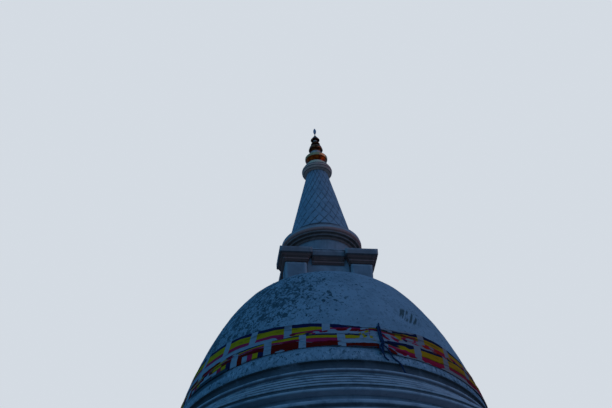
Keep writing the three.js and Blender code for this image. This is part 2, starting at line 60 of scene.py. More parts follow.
def make_camera():
    """The camera stands lower than the floor, so its near clip leaves out the floor between."""
    ahead = Vector((
        math.sin(CAMERA_HEADING) * math.cos(CAMERA_PITCH),
        math.cos(CAMERA_HEADING) * math.cos(CAMERA_PITCH),
        math.sin(CAMERA_PITCH),
    ))
    level = Vector((math.cos(CAMERA_HEADING), -math.sin(CAMERA_HEADING), 0))
    upright = level.cross(ahead)
    right = math.cos(CAMERA_ROLL) * level + math.sin(CAMERA_ROLL) * upright
    above = math.cos(CAMERA_ROLL) * upright - math.sin(CAMERA_ROLL) * level
    data = bpy.data.cameras.new("camera")
    data.lens = LENS
    data.sensor_width = SENSOR
    data.clip_start = NEAR_CLIP
    data.clip_end = FAR_CLIP
    camera = link(bpy.data.objects.new("camera", data))
    turn = Matrix((right, above, -ahead)).transposed().to_4x4()
    camera.matrix_world = Matrix.Translation(CAMERA_PLACE) @ turn
    bpy.context.scene.camera = camera


def link(obj):
    bpy.context.scene.collection.objects.link(obj)
    return obj


SKY_LIGHT = (0.12, 0.47, 1.0)
SKY_STRENGTH = 0.33
BACKDROP = (0.66, 0.71, 0.77)
FLOOR_RADIUS = 500
FLOOR_SIDES = 96
FLOOR_TONES = [(0.3, (0.62, 0.60, 0.56)), (0.7, (0.68, 0.66, 0.62))]
FLOOR_GLOW_TONE = (1.0, 0.97, 0.93)
FLOOR_GLOW = 0.42
KEY_LIGHT = (1.0, 0.38, 0.17)
KEY_STRENGTH = 0.20
KEY_SPREAD = math.radians(60)
KEY_TILT = math.radians(64)
KEY_TURN = math.radians(66)


def make_stage():
    """A pale floor, a soft blue light all round, as open shade has, and a weak warm key from the right."""
    mesh = bpy.data.meshes.new("floor")
    form = bmesh.new()
    bmesh.ops.create_circle(form, cap_ends=True, radius=FLOOR_RADIUS, segments=FLOOR_SIDES)
    form.to_mesh(mesh)
    form.free()
    floor = link(bpy.data.objects.new("floor", mesh))
    paint = Paint("floor")
    shade = paint.ramp(paint.noise(paint.place(), 0.6, 4), FLOOR_TONES)
    glow = paint.times(paint.node("LightPath").outputs["Is Camera Ray"], FLOOR_GLOW)
    paint.finish(shade, 0.9, Emission_Color=FLOOR_GLOW_TONE, Emission_Strength=glow)
    mesh.materials.append(paint.material)
    sun = bpy.data.lights.new("key", "SUN")
    sun.energy = KEY_STRENGTH
    sun.angle = KEY_SPREAD
    sun.color = KEY_LIGHT
    key = link(bpy.data.objects.new("key", sun))
    key.rotation_euler = (KEY_TILT, 0, KEY_TURN)
    world = bpy.data.worlds.new("studio")
    world.use_nodes = True
    tree = world.node_tree
    tree.nodes.clear()
    path = tree.nodes.new("ShaderNodeLightPath")
    blend = tree.nodes.new("ShaderNodeMixShader")
    tree.links.new(path.outputs["Is Camera Ray"], blend.inputs[0])
    for socket, tone, strength in ((1, SKY_LIGHT, SKY_STRENGTH), (2, BACKDROP, 1.0)):
        light = tree.nodes.new("ShaderNodeBackground")
        light.inputs["Color"].default_value = (*tone, 1)
        light.inputs["Strength"].default_value = strength
        tree.links.new(light.outputs[0], blend.inputs[socket])
    out = tree.nodes.new("ShaderNodeOutputWorld")
    tree.links.new(blend.outputs[0], out.inputs[0])
    bpy.context.scene.world = world
    bpy.context.scene.view_settings.view_transform = "Standard"


# Materials

class Paint:
    """A small builder of node materials."""

    def __init__(self, name):
        self.material = bpy.data.materials.new(name)
        self.material.use_nodes = True
        self.tree = self.material.node_tree
        self.tree.nodes.clear()

    def node(self, kind, inputs=None, **settings):
        made = self.tree.nodes.new("ShaderNode" + kind)
        for key, value in settings.items():
            setattr(made, key, value)
        for key, value in (inputs or {}).items():
            self.feed(made.inputs[key], value)
        return made

    def feed(self, socket, value):
        if isinstance(value, bpy.types.NodeSocket):
            self.tree.links.new(value, socket)
        elif isinstance(value, tuple) and socket.type == "RGBA":
            socket.default_value = (*value, 1)
        else:
            socket.default_value = value

    def place(self, stretch=None):
        """Where a point is on the piece, in metres, stretched along each axis if asked."""
        spot = self.node("TexCoord").outputs["Object"]
        if stretch is None:
            return spot
        return self.node("VectorMath", {0: spot, 1: stretch}, operation="MULTIPLY").outputs[0]

    def parts(self, spot):
        """The x, y and z of a place."""
        return tuple(self.node("SeparateXYZ", {0: spot}).outputs)

    def attribute(self, name):
        return self.node("Attribute", attribute_name=name).outputs["Fac"]

    def math(self, operation, a, b=0.0):
        return self.node("Math", {0: a, 1: b}, operation=operation).outputs[0]

    def times(self, a, b):
        return self.math("MULTIPLY", a, b)

    def plus(self, a, b):
        return self.math("ADD", a, b)

    def less(self, a, b):
        return self.math("SUBTRACT", a, b)

    def azimuth(self, x, y):
        """The turn round the axis from the front, in radians."""
        return self.math("ARCTAN2", x, self.times(y, -1.0))

    def noise(self, spot, scale, detail=4.0, rough=0.55, warp=0.0):
        """Soft noise round 0.5: its waves in a metre, octaves, roughness and how far it is warped."""
        values = {"Vector": spot, "Scale": scale, "Detail": detail, "Roughness": rough, "Distortion": warp}
        return self.node("TexNoise", values).outputs["Fac"]

    def ramp(self, value, stops, sharp=False):
        made = self.node("ValToRGB", {"Fac": value})
        ramp = made.color_ramp
        ramp.interpolation = "CONSTANT" if sharp else "EASE"
        while len(ramp.elements) < len(stops):
            ramp.elements.new(1.0)
        for element, (position, colour) in zip(ramp.elements, stops):
            element.position = position
            element.color = (*colour, 1)
        return made.outputs["Color"]

    def band(self, value, low, high):
        """0 below low and 1 above high, eased between, or the other way round where low is the higher."""
        values = {"Value": value, "From Min": low, "From Max": high}
        return self.node("MapRange", values, interpolation_type="SMOOTHSTEP").outputs[0]

    def near(self, spot, centre, close, far):
        """1 within close of a point and 0 beyond far."""
        away = self.node("VectorMath", {0: spot, 1: centre}, operation="DISTANCE").outputs["Value"]
        return self.band(away, far, close)

    def tint(self, colour, tone, where, share=1.0, blend="MIX"):
        """The colour with a share of a tone over it, where a mask says."""
        made = self.node("Mix", data_type="RGBA", blend_type=blend, clamp_factor=True)
        factor, under, over = (made.inputs[i] for i in (0, 6, 7))
        self.feed(factor, where if share == 1.0 else self.times(where, share))
        self.feed(under, colour)
        self.feed(over, tone)
        return made.outputs[2]

    def coats(self, colour, *coats):
        """The colour under coats that are laid on in turn: a tone, a mask and maybe a share."""
        for coat in coats:
            colour = self.tint(colour, *coat)
        return colour

    def bump(self, height, depth, strength, under=None):
        values = {"Height": height, "Distance": depth, "Strength": strength}
        if under is not None:
            values["Normal"] = under
        return self.node("Bump", values).outputs["Normal"]

    def finish(self, colour, roughness, normal=None, **sockets):
        """The shader. Further sockets are named with _ for each space."""
        shader = self.node("BsdfPrincipled", {"Base Color": colour, "Roughness": roughness})
        if normal is not None:
            self.feed(shader.inputs["Normal"], normal)
        for key, value in sockets.items():
            self.feed(shader.inputs[key.replace("_", " ")], value)
        out = self.node("OutputMaterial")
        self.tree.links.new(shader.outputs[0], out.inputs[0])
        return self.material


# The pale tone of a painted highlight on edges
EDGE_HIGHLIGHT = (0.60, 0.64, 0.66)
STEP_TONE = (0.54, 0.27, 0.22)
STEP_BLUR = 0.008
# The tone and reach of painted shade towards one side
SIDE_SHADE_TONE = (0.06, 0.15, 0.19)
SIDE_SHADE_FROM, SIDE_SHADE_FULL = -0.6, -3.6
# The share of the stain tone that paints shade in corners and on undersides
CORNER_SHADE_SHARE = 0.6


def plaster(name, light, dark, stain_and_shade, spots, streaks, steps=None, side_shade=0.0, highlight=1.0):
    """Old limewash on walls and mouldings: mottled, streaked by rain, painted highlight on edges, painted
    shade in corners and on undersides.

    With steps, browner below that height. With a share of painted shade, darker towards one side.
    """
    paint = Paint(name)
    spot = paint.place()
    x, y, z = paint.parts(spot)
    broad = paint.noise(spot, 0.5, 4, 0.55, 0.3)
    patches = paint.noise(spot, 2.6, 7, 0.62, 0.5)
    fine = paint.noise(spot, 16, 7, 0.7)
    dots = paint.noise(spot, 9, 4, 0.65, 0.2)
    runs = paint.noise(paint.place((5.0, 5.0, 0.45)), 1.4, 5, 0.65)
    colour = paint.tint(light, dark, paint.band(patches, 0.36, 0.68))
    colour = paint.tint(colour, dark, paint.band(broad, 0.42, 0.72), 0.5)
    if steps:
        colour = paint.tint(colour, STEP_TONE, paint.band(z, steps + STEP_BLUR, steps - STEP_BLUR))
    # Painted shade, darker towards one side
    if side_shade:
        colour = paint.tint(colour, SIDE_SHADE_TONE, paint.band(x, SIDE_SHADE_FROM, SIDE_SHADE_FULL), side_shade)
    edge = paint.times(paint.attribute("edge"), paint.band(patches, 0.72, 0.42))
    grime = paint.times(paint.attribute("grime"), paint.band(patches, 0.15, 0.5))
    colour = paint.coats(
        colour,
        (stain_and_shade, paint.band(dots, 0.70 - 0.1 * spots, 0.74 - 0.08 * spots), 0.6),
        (stain_and_shade, paint.band(runs, 0.54, 0.76), streaks),
        # painted highlight on edges
        (EDGE_HIGHLIGHT, edge, highlight),
        # painted shade in corners and on undersides
        (tuple(CORNER_SHADE_SHARE * c for c in stain_and_shade), grime),
    )
    return plaster_surface(paint, spot, colour, patches, fine)


def plaster_surface(paint, spot, colour, patches, fine):
    """The uneven face of hand-laid lime plaster, matt with a slightly smoother skin in places."""
    height = paint.plus(paint.times(patches, 0.6), paint.times(fine, 0.4))
    normal = paint.bump(paint.noise(spot, 60, 5, 0.7), 0.003, 0.4)
    normal = paint.bump(height, 0.02, 0.5, normal)
    roughness = paint.plus(paint.times(paint.band(fine, 0.2, 0.9), 0.12), 0.80)
    return paint.finish(colour, roughness, normal, Specular_IOR_Level=0.15)


LIMEWASH = (0.34, 0.455, 0.525)
LIMEWASH_DARK = (0.27, 0.37, 0.43)
CLOUD = (0.23, 0.31, 0.36)
LICHEN = (0.030, 0.085, 0.105)
FAINT_LICHEN = (0.13, 0.20, 0.23)
CHALK = (0.46, 0.56, 0.62)
FLAKE = (0.50, 0.60, 0.66)
DRIP = (0.05, 0.085, 0.08)
DOME_DARK_TONE = (0.06, 0.10, 0.12)
# The middles of the lichen and of the dark runs, and the heights at which the foot begins and is in full
LICHEN_AT = (-2.3, -2.2, 5.9)
LICHEN_CLOSE, LICHEN_FAR = 0.9, 3.4
DRIPS_AT = (1.72, -3.18, 5.12)
DRIPS_CLOSE, DRIPS_FAR = 0.26, 0.42
FOOT_FROM, FOOT_FULL = 3.42, 3.30


def dome_plaster():
    """The dome's limewash: even and pale, with small dark lichen marks, thick on one shoulder."""
    paint = Paint("dome_plaster")
    spot, tall = paint.place(), paint.place((1, 1, 0.6))
    x, y, z = paint.parts(spot)
    patches = paint.noise(spot, 1.3, 5, 0.55, 0.4)
    fine = paint.noise(spot, 14, 6, 0.65)
    cloudy = paint.noise(spot, 0.55, 3, 0.5)
    # Lichen in clumps on the shoulder, and a little more along the foot
    shoulder = paint.near(spot, LICHEN_AT, LICHEN_CLOSE, LICHEN_FAR)
    foot = paint.band(z, FOOT_FROM, FOOT_FULL)
    clumps = paint.times(paint.less(paint.noise(tall, 2.8, 3, 0.6, 0.4), 0.5), 0.36)
    spread = paint.plus(paint.times(shoulder, paint.plus(clumps, 0.140)),
                        paint.times(paint.noise(spot, 0.9, 3, 0.6), 0.12))
    spread = paint.plus(spread, paint.times(foot, 0.05))
    marks = paint.band(paint.plus(paint.noise(tall, 9.0, 3.0, 0.60, 0.6), spread), 0.705, 0.745)
    specks = paint.band(paint.plus(paint.noise(tall, 19.0, 2.5, 0.6, 0.3), spread), 0.715, 0.76)
    lichen = paint.math("MAXIMUM", paint.times(marks, 0.92), paint.times(specks, 0.75))
    faint = paint.noise(paint.place((1, 1, 0.8)), 10.0, 6, 0.70, 0.4)
    # Chalky patches all over, and pale flakes along the foot
    chalky = paint.noise(spot, 4.2, 5, 0.65, 0.3)
    flakes = paint.band(paint.noise(tall, 12.0, 4, 0.65, 0.2), 0.53, 0.60)
    # Thin dark runs below one place on the other shoulder, aslant
    across = paint.less(paint.times(paint.azimuth(x, y), 50.0), paint.times(z, 8.0))
    strip = paint.node("CombineXYZ", {0: across, 2: z}).outputs[0]
    runs = paint.band(paint.noise(strip, 1.0, 2, 0.5), 0.47, 0.53)
    colour = paint.coats(
        LIMEWASH,
        (LIMEWASH_DARK, paint.band(patches, 0.35, 0.70)),
        (CLOUD, paint.band(cloudy, 0.45, 0.75), 0.35),
        (LICHEN, lichen),
        (FAINT_LICHEN, paint.band(faint, 0.51, 0.62), 0.50),
        (CHALK, paint.band(chalky, 0.55, 0.72), 0.40),
        (FLAKE, flakes, paint.times(foot, 0.75)),
        (DRIP, paint.times(runs, paint.near(spot, DRIPS_AT, DRIPS_CLOSE, DRIPS_FAR)), 0.85),
        # darker towards the foot and in a patch under the cloth's edge
        (DOME_DARK_TONE, paint.times(paint.attribute("grime"), paint.band(patches, 0.2, 0.6))),
    )
    return plaster_surface(paint, spot, colour, patches, fine)


LATTICE_LINES = 20
LATTICE_RISE = 0.40
LATTICE_TONE = (0.06, 0.065, 0.07)
SPIRE_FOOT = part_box("spire")[0][2]
SEAM_FROM, SEAM_FULL = SPIRE_FOOT + 0.25, SPIRE_FOOT + 0.21
SEAM_TONE = (0.07, 0.05, 0.045)


def spire_material():
    """Grey-white paint with a dark lattice of slanting lines."""
    paint = Paint("spire_paint")
    spot = paint.place()
    x, y, z = paint.parts(spot)
    worn = paint.noise(spot, 6, 4, 0.65)
    patches = paint.noise(spot, 2.4, 7, 0.65, 0.5)
    fine = paint.noise(spot, 18, 6, 0.7)
    turn = paint.times(paint.azimuth(x, y), LATTICE_LINES / (2 * math.pi))
    rise = paint.times(z, 1 / LATTICE_RISE)
    drift = paint.times(paint.less(paint.noise(spot, 1.6, 2), 0.5), 0.55)
    # The lines that slant one way show more on one side, and the others on the other
    side = paint.times(paint.band(x, -0.35, 0.35), 0.5)
    lines = []
    for slant, share in ((1.0, paint.plus(side, 0.42)), (-1.0, paint.less(1.0, side))):
        wave = paint.math("FRACT", paint.plus(paint.plus(turn, paint.times(rise, slant)), drift))
        wave = paint.math("ABSOLUTE", paint.less(wave, 0.5))
        lines.append(paint.times(paint.band(wave, 0.385, 0.445), share))
    lattice = paint.math("MAXIMUM", *lines)
    drawn = paint.times(lattice, paint.band(worn, 0.33, 0.56))
    colour = paint.coats(
        (0.33, 0.42, 0.49),
        ((0.25, 0.32, 0.38), paint.band(patches, 0.35, 0.68)),
        ((0.12, 0.14, 0.15), paint.band(fine, 0.58, 0.72), 0.35),
        (LATTICE_TONE, drawn, 0.84),
        (SEAM_TONE, paint.band(z, SEAM_FROM, SEAM_FULL), 0.85),
        # painted shade where it is sheltered
        ((0.08, 0.075, 0.07), paint.attribute("grime"), 0.6),
    )
    normal = paint.bump(fine, 0.006, 0.5)
    normal = paint.bump(paint.less(paint.times(patches, 0.5), lattice), 0.012, 0.7, normal)
    return paint.finish(colour, 0.75, normal)


COLLAR_CROWN = 12.475
CROWN_BLUR = 0.01
# The middle height and half height of each dark ring
RING_GROOVES = ((12.262, 0.007), (12.336, 0.022), (12.428, 0.032))


def collar_material():
    """Brown-grey paint between dark grooves, with a light ring on top."""
    paint = Paint("collar_paint")
    spot = paint.place()
    z = paint.parts(spot)[2]
    patches = paint.noise(spot, 4.5, 7, 0.65, 0.4)
    runs = paint.noise(paint.place((9, 9, 0.8)), 1.6, 5, 0.7)
    grooves = []
    for middle, half in RING_GROOVES:
        off = paint.math("ABSOLUTE", paint.less(z, middle))
        grooves.append(((0.10, 0.05, 0.04), paint.band(off, half, 0.6 * half), 0.8))
    colour = paint.coats(
        (0.88, 0.49, 0.35),
        ((0.65, 0.35, 0.26), paint.band(patches, 0.35, 0.68)),
        ((0.96, 0.72, 0.46), paint.band(z, COLLAR_CROWN - CROWN_BLUR, COLLAR_CROWN + CROWN_BLUR)),
        *grooves,
        ((0.09, 0.07, 0.055), paint.band(runs, 0.55, 0.72), 0.4),
        # painted shade under overhangs and in hollows
        ((0.035, 0.032, 0.03), paint.attribute("grime"), 0.9),
    )
    return paint.finish(colour, 0.6, paint.bump(patches, 0.008, 0.6))


def gilding_material(name, light, dark, tarnish_and_shade):
    """Gilding over sheet metal, with dull patches, tarnish in the grooves and painted shade under overhangs.
    """
    paint = Paint(name)
    spot = paint.place()
    worn = paint.noise(spot, 14, 6, 0.65, 0.3)
    dents = paint.noise(spot, 26, 4, 0.6)
    runs = paint.noise(paint.place((14, 14, 2)), 1.5, 4, 0.6)
    colour = paint.coats(light, (dark, paint.band(worn, 0.42, 0.60)),
                         # tarnish in runs, and painted shade with tarnish under overhangs and in hollows
                         (tarnish_and_shade, paint.band(runs, 0.48, 0.62), 0.7), (tarnish_and_shade, paint.attribute("grime")))
    roughness = paint.plus(paint.times(paint.band(worn, 0.3, 0.8), 0.25), 0.24)
    return paint.finish(colour, roughness, paint.bump(dents, 0.004, 0.4), Metallic=1.0)


def pale_metal_material():
    """Dull silvering, worn unevenly."""
    paint = Paint("pale_metal")
    worn = paint.noise(paint.place(), 12, 6, 0.65)
    colour = paint.coats((0.96, 0.72, 0.60), ((0.68, 0.47, 0.38), paint.band(worn, 0.35, 0.7)),
                         # painted shade under overhangs and in hollows
                         ((0.10, 0.06, 0.05), paint.attribute("grime"), 0.8))
    return paint.finish(colour, 0.4, paint.bump(worn, 0.003, 0.4), Metallic=0.25)


def crystal_material():
    """Cut crystal, cloudy with facets."""
    paint = Paint("crystal_glass")
    cut = paint.node("TexVoronoi", {"Vector": paint.place(), "Scale": 40}).outputs["Distance"]
    colour = paint.tint((0.16, 0.16, 0.24), (0.52, 0.50, 0.58), paint.band(cut, 0.1, 0.6))
    return paint.finish(colour, 0.08, paint.bump(cut, 0.004, 0.6), IOR=1.54, Transmission_Weight=0.6)


def rope_material():
    """Blue cloth twisted into a rope, faded in places."""
    paint = Paint("blue_rope")
    fibre = paint.noise(paint.place((60, 60, 12)), 3, 5, 0.7)
    fade = paint.noise(paint.place(), 9, 4, 0.6)
    colour = paint.coats((0.010, 0.026, 0.075), ((0.022, 0.062, 0.14), paint.band(fibre, 0.3, 0.7)),
                         ((0.04, 0.10, 0.17), paint.band(fade, 0.5, 0.8), 0.6))
    return paint.finish(colour, 0.85, paint.bump(fibre, 0.004, 0.8), Specular_IOR_Level=0.1)


BLUE = (0.005, 0.013, 0.072)
YELLOW = (0.60, 0.39, 0.005)
RED = (0.52, 0.020, 0.085)
WHITE = (0.34, 0.41, 0.46)
# The print's orange as it looks in shade: painted shade
SHADED_ORANGE = (0.20, 0.006, 0.001)
# The same orange lit: painted light
LIT_ORANGE = (0.62, 0.030, 0.004)
CRIMSON = (0.34, 0.008, 0.030)
# Red in shadow: painted shade
RED_IN_SHADOW = (0.28, 0.006, 0.008)
SHADE = (0.030, 0.065, 0.085)
STRIPES = [(i / 6, tone) for i, tone in enumerate((BLUE, YELLOW, RED, WHITE, SHADED_ORANGE, WHITE))]
BLOCKS = [(i / 5, tone) for i, tone in enumerate((SHADED_ORANGE, WHITE, RED, YELLOW, BLUE))]
FLAG_SHARE = 0.79  # of each repeat of the print, and the rest is a plain gap
BLEED = 0.015
# Where the painted warm light begins and is in full, and its tint
WARM_LIT_FROM, WARM_LIT_FULL = 0.4, 2.4
WARM_LIGHT_TINT = (0.98, 0.62, 0.50)


def cloth_material():
    """Printed cotton: stripes along the cloth over a border of blocks, then a plain gap. Faded and dusty,
    with painted light and shade.
    """
    paint = Paint("flag_cloth")
    spot = paint.place()
    u, v = paint.math("FRACT", paint.attribute("print_u")), paint.attribute("print_v")
    stripes = paint.ramp(paint.math("DIVIDE", v, 6.0), STRIPES, sharp=True)
    blocks = paint.ramp(paint.math("DIVIDE", u, FLAG_SHARE), BLOCKS, sharp=True)
    plain = paint.math("MAXIMUM", paint.band(u, FLAG_SHARE - 0.004, FLAG_SHARE + 0.004),
                       paint.band(v, 6 - BLEED, 6 + BLEED))
    plain = paint.math("MAXIMUM", plain, paint.less(1.0, paint.band(v, -0.02, 0.02)))
    turned_and_shaded = paint.node("Attribute", attribute_name="turned_and_shaded").outputs
    # Painted warm light: warmer tones towards the side the light comes from
    warm_lit_side = paint.band(paint.parts(spot)[0], WARM_LIT_FROM, WARM_LIT_FULL)
    fade = paint.noise(spot, 3.2, 5, 0.6)
    dust = paint.noise(paint.place((2, 2, 0.5)), 4, 6, 0.7)
    colour = paint.coats(
        stripes,
        (blocks, paint.band(v, 5 - BLEED, 5 + BLEED)),
        (WHITE, plain),
        # the print turned out by folds, and painted shade
        (turned_and_shaded["Color"], turned_and_shaded["Alpha"]),
        # painted warm light
        (WARM_LIGHT_TINT, warm_lit_side, 0.9, "MULTIPLY"),
        ((0.72, 0.70, 0.68), paint.band(fade, 0.45, 0.8), 0.45, "MULTIPLY"),
        ((0.030, 0.026, 0.020), paint.band(dust, 0.5, 0.8), 0.35),
        # painted shade in creases
        ((0.010, 0.010, 0.012), paint.attribute("crease")),
    )
    threads = {"Vector": spot, "Scale": 90.0, "Distortion": 0.6}
    weave = paint.node("TexWave", threads, bands_direction="Z").outputs["Fac"]
    wrinkle = paint.noise(paint.place((1, 1, 1.6)), 7, 6, 0.62, 0.8)
    normal = paint.bump(weave, 0.0006, 0.4)
    normal = paint.bump(wrinkle, 0.02, 0.55, normal)
    return paint.finish(colour, 0.85, normal, Specular_IOR_Level=0.08)


# Shapes

def noise_at(points, size, seed):
    """Smooth value noise from -1 to 1 at an array of points."""
    scaled = points / size + 1000.0 + 17.3 * seed
    cell = np.floor(scaled).astype(np.int64)
    part = scaled - cell
    part = part * part * (3 - 2 * part)
    total = np.zeros(len(points))
    for corner in range(8):
        step = np.array([corner & 1, corner >> 1 & 1, corner >> 2 & 1])
        at = cell + step
        mixed = (at[:, 0] * 73856093) ^ (at[:, 1] * 19349663) ^ (at[:, 2] * 83492791) ^ (seed * 9176131)
        mixed = (mixed ^ (mixed >> 13)) * 1274126177 & 0x7FFFFFFF
        mixed = (mixed ^ (mixed >> 15)) * 2246822519 & 0x7FFFFFFF
        value = mixed / 0x3FFFFFFF - 1
        weight = np.prod(np.where(step == 1, part, 1 - part), axis=1)
        total += weight * value
    return total


def rugged(points, size, seed, octaves=3):
    total = np.zeros(len(points))
    for i in range(octaves):
        total += noise_at(points, size / 2**i, seed + i) / 1.8**i
    return total


def mesh_piece(name, points, faces, node, slot, material, **layers):
    """A smooth-shaded piece that stands for a CAD node, with its layers of point values."""
    mesh = bpy.data.meshes.new(name)
    mesh.from_pydata(np.asarray(points).tolist(), [], faces)
    mesh.polygons.foreach_set("use_smooth", [True] * len(mesh.polygons))
    for layer_name, values in layers.items():
        layer = mesh.attributes.new(layer_name, "FLOAT", "POINT")
        layer.data.foreach_set("value", np.asarray(values, np.float32))
    mesh.materials.append(material)
    mesh.update()
    piece = link(bpy.data.objects.new(name, mesh))
    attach(piece, "root")
    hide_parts(node)
    return piece


def profile_of(node):
    """The turned outline of a CAD node, as (radius, height) pairs from its underside up."""
    mesh = NODES[node].data
    spots = [tuple(round(c, 5) for c in v.co) for v in mesh.vertices]
    near = {s: set() for s in spots if abs(s[0]) < 1e-4 and s[1] < -1e-3}
    for edge in mesh.edges:
        a, b = (spots[i] for i in edge.vertices)
        if a != b and a in near and b in near:
            near[a].add(b)
            near[b].add(a)
    walk = [min((s for s in near if len(near[s]) == 1), key=lambda s: (s[2], s[1]))]
    while ahead := near[walk[-1]] - set(walk):
        walk.append(min(ahead))
    return [(-s[1], s[2]) for s in walk]


CORNER_SHARE = 0.42  # the most of an edge that the rounding of a corner takes


def worn_profile(profile, corner, step):
    """The outline with its corners rounded off, and points every step or so."""
    points = [np.array(p, float) for p in profile]
    out = [points[0]]
    for before, here, after in zip(points, points[1:], points[2:]):
        back, on = before - here, after - here
        reach = min(corner, CORNER_SHARE * np.linalg.norm(back), CORNER_SHARE * np.linalg.norm(on))
        start = here + back / np.linalg.norm(back) * reach
        end = here + on / np.linalg.norm(on) * reach
        out += [start, 0.25 * start + 0.5 * here + 0.25 * end, end]
    out.append(points[-1])
    dense = [out[0]]
    for a, b in zip(out, out[1:]):
        count = max(1, math.ceil(np.linalg.norm(b - a) / step))
        dense += [a + (b - a) * (i + 1) / count for i in range(count)]
    return np.array(dense)


def quads(rows, sides, closed=False):
    """The faces between closed rows of points, and from the last row back to the first where closed."""
    faces = []
    for i in range(rows if closed else rows - 1):
        for j in range(sides):
            n, k = (i + 1) % rows, (j + 1) % sides
            faces.append((i * sides + j, i * sides + k, n * sides + k, n * sides + j))
    return faces


def tube(rows, sides):
    """The faces between rows of points, with a cap at each end."""
    caps = [tuple(range(sides - 1, -1, -1)), tuple((rows - 1) * sides + j for j in range(sides))]
    return quads(rows, sides) + caps


def revolve(profile, segments):
    """Points of a turned surface, row by row."""
    turns = np.linspace(0, 2 * math.pi, segments, endpoint=False)
    radius, height = profile[:, 0], profile[:, 1]
    x = np.outer(radius, np.sin(turns))
    y = -np.outer(radius, np.cos(turns))
    z = np.repeat(height[:, None], segments, 1)
    return np.stack([x, y, z], -1).reshape(-1, 3)


END_FADE = 0.02     # how near its ends a turned piece is left even
BEND_GAIN = 2.5     # how soon a bend in the outline counts as a sharp edge or corner


def turned_piece(node, slot, material, corner, step, segments, seed, lumps, grime, size=0.7):
    """A turned CAD node, uneven, with worn corners that get a painted highlight, and painted shade where it
    is sheltered and in hollows.
    """
    profile = worn_profile(profile_of(node), corner, step)
    points = revolve(profile, segments)
    out = points * np.array([1, 1, 0])
    length = np.linalg.norm(out, axis=1)
    out /= np.maximum(length, 1e-6)[:, None]
    shift = lumps * rugged(points, size, seed) - 1.2 * lumps
    low, high = points[:, 2].min(), points[:, 2].max()
    inside = np.clip(np.minimum(points[:, 2] - low, high - points[:, 2]) / END_FADE, 0, 1)
    points = points + out * (shift * inside)[:, None]
    along = np.diff(profile, axis=0)
    along /= np.maximum(np.linalg.norm(along, axis=1), 1e-9)[:, None]
    overhang = np.append(along[:, 0], along[-1, 0])
    # Painted shade under overhangs and in hollows
    shelter = np.clip(overhang, 0, 1) * grime
    bend = np.zeros(len(profile))
    bend[1:-1] = along[:-1, 0] * along[1:, 1] - along[:-1, 1] * along[1:, 0]
    # Convex bends get a painted highlight
    edge_light = np.repeat(np.clip(bend * BEND_GAIN, 0, 1), segments)
    hollow = np.clip(-bend * BEND_GAIN, 0, 1) * grime
    painted_shade = np.repeat(np.maximum(shelter, hollow), segments)
    faces = tube(len(profile), segments)
    return mesh_piece(node + "_looks", points, faces, node, slot, material, grime=painted_shade, edge=edge_light)


BLOCK_CELL = 0.09
BLOCK_LUMPS = 0.005
BLOCK_WAVE = 0.45
CHIP_SIZE = 0.16
CHIP_FROM = 0.75    # the noise above which a corner is chipped
CHIP_DEPTH = 0.05


def masonry_block(node, slot, material, seed, bevel=0.014, grime=0.5):
    """A block of plastered masonry after its CAD node, with worn edges."""
    form = bmesh.new()
    form.from_mesh(NODES[node].data)
    bmesh.ops.remove_doubles(form, verts=form.verts, dist=1e-4)
    bmesh.ops.dissolve_limit(form, angle_limit=math.radians(1), verts=form.verts, edges=form.edges)
    sharp = [e for e in form.edges if len(e.link_faces) == 2 and e.calc_face_angle() > 0.3]
    bmesh.ops.bevel(form, geom=sharp, offset=bevel, segments=2, affect="EDGES", clamp_overlap=True)
    low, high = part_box(node)
    for axis in range(3):
        count = math.floor((high[axis] - low[axis]) / BLOCK_CELL)
        for i in range(1, count + 1):
            centre, normal = Vector((0, 0, 0)), Vector((0, 0, 0))
            centre[axis] = low[axis] + i * (high[axis] - low[axis]) / (count + 1)
            normal[axis] = 1
            every = [*form.verts, *form.edges, *form.faces]
            bmesh.ops.bisect_plane(form, geom=every, dist=1e-5, plane_co=centre, plane_no=normal)
    form.normal_update()
    points = np.array([v.co for v in form.verts])
    normals = np.array([v.normal for v in form.verts])
    shift = BLOCK_LUMPS * rugged(points, BLOCK_WAVE, seed) - 1.3 * BLOCK_LUMPS
    span = np.array(high) - np.array(low)
    worn = np.abs((points - np.array(low)) / span - 0.5) * 2
    corners = np.sort(worn, axis=1)[:, 1] > 0.9
    chips = np.clip(rugged(points, CHIP_SIZE, seed + 7) - CHIP_FROM, 0, 1) * CHIP_DEPTH
    shift = shift - np.where(corners, chips, 0)
    points = points + normals * shift[:, None]
    # Painted shade on faces turned down
    painted_shade = np.clip(-normals[:, 2], 0, 1) * grime
    # A painted highlight on the bevels, except where they face down
    edge_light = np.where(np.abs(normals).max(axis=1) < 0.93, 0.7, 0.0) * np.clip(1 + 2 * normals[:, 2], 0, 1)
    faces = [tuple(v.index for v in f.verts) for f in form.faces]
    form.free()
    return mesh_piece(node + "_looks", points, faces, node, slot, material, grime=painted_shade, edge=edge_light)


# The dome's outline is an ellipse, and its crown flattens towards the top
DOME_RADIUS = 5.010
DOME_RISE = 10.500
DOME_CENTRE = -2.160
CROWN_START = 6.8
CROWN_END = 8.12
CROWN_SPREAD = 2.860
CROWN_HOLE = 1.19   # the outline ends at this radius, under the harmika
DOME_LEVELS, CROWN_LEVELS, DOME_SEGMENTS = 62, 26, 360
NORMALS_FROM = (0, 0, 1.5)
CLOTH_TOP = 4.72
CLOTH_FADE = 0.3    # the face is even under the cloth, and uneven from this far above it
FOOT_TALL, FOOT_DARKENING = 0.35, 0.35
DARK_PATCH_AZIMUTH, DARK_PATCH_WIDE = -57, 11
DARK_PATCH_HEIGHT, DARK_PATCH_TALL = 3.40, 0.13
DARK_PATCH_SHARE = 1.7


def dome_radius(height):
    """The dome's radius at a height, below its crown."""
    share = (np.asarray(height, float) - DOME_CENTRE) / DOME_RISE
    return DOME_RADIUS * np.sqrt(np.clip(1 - share * share, 0, 1))


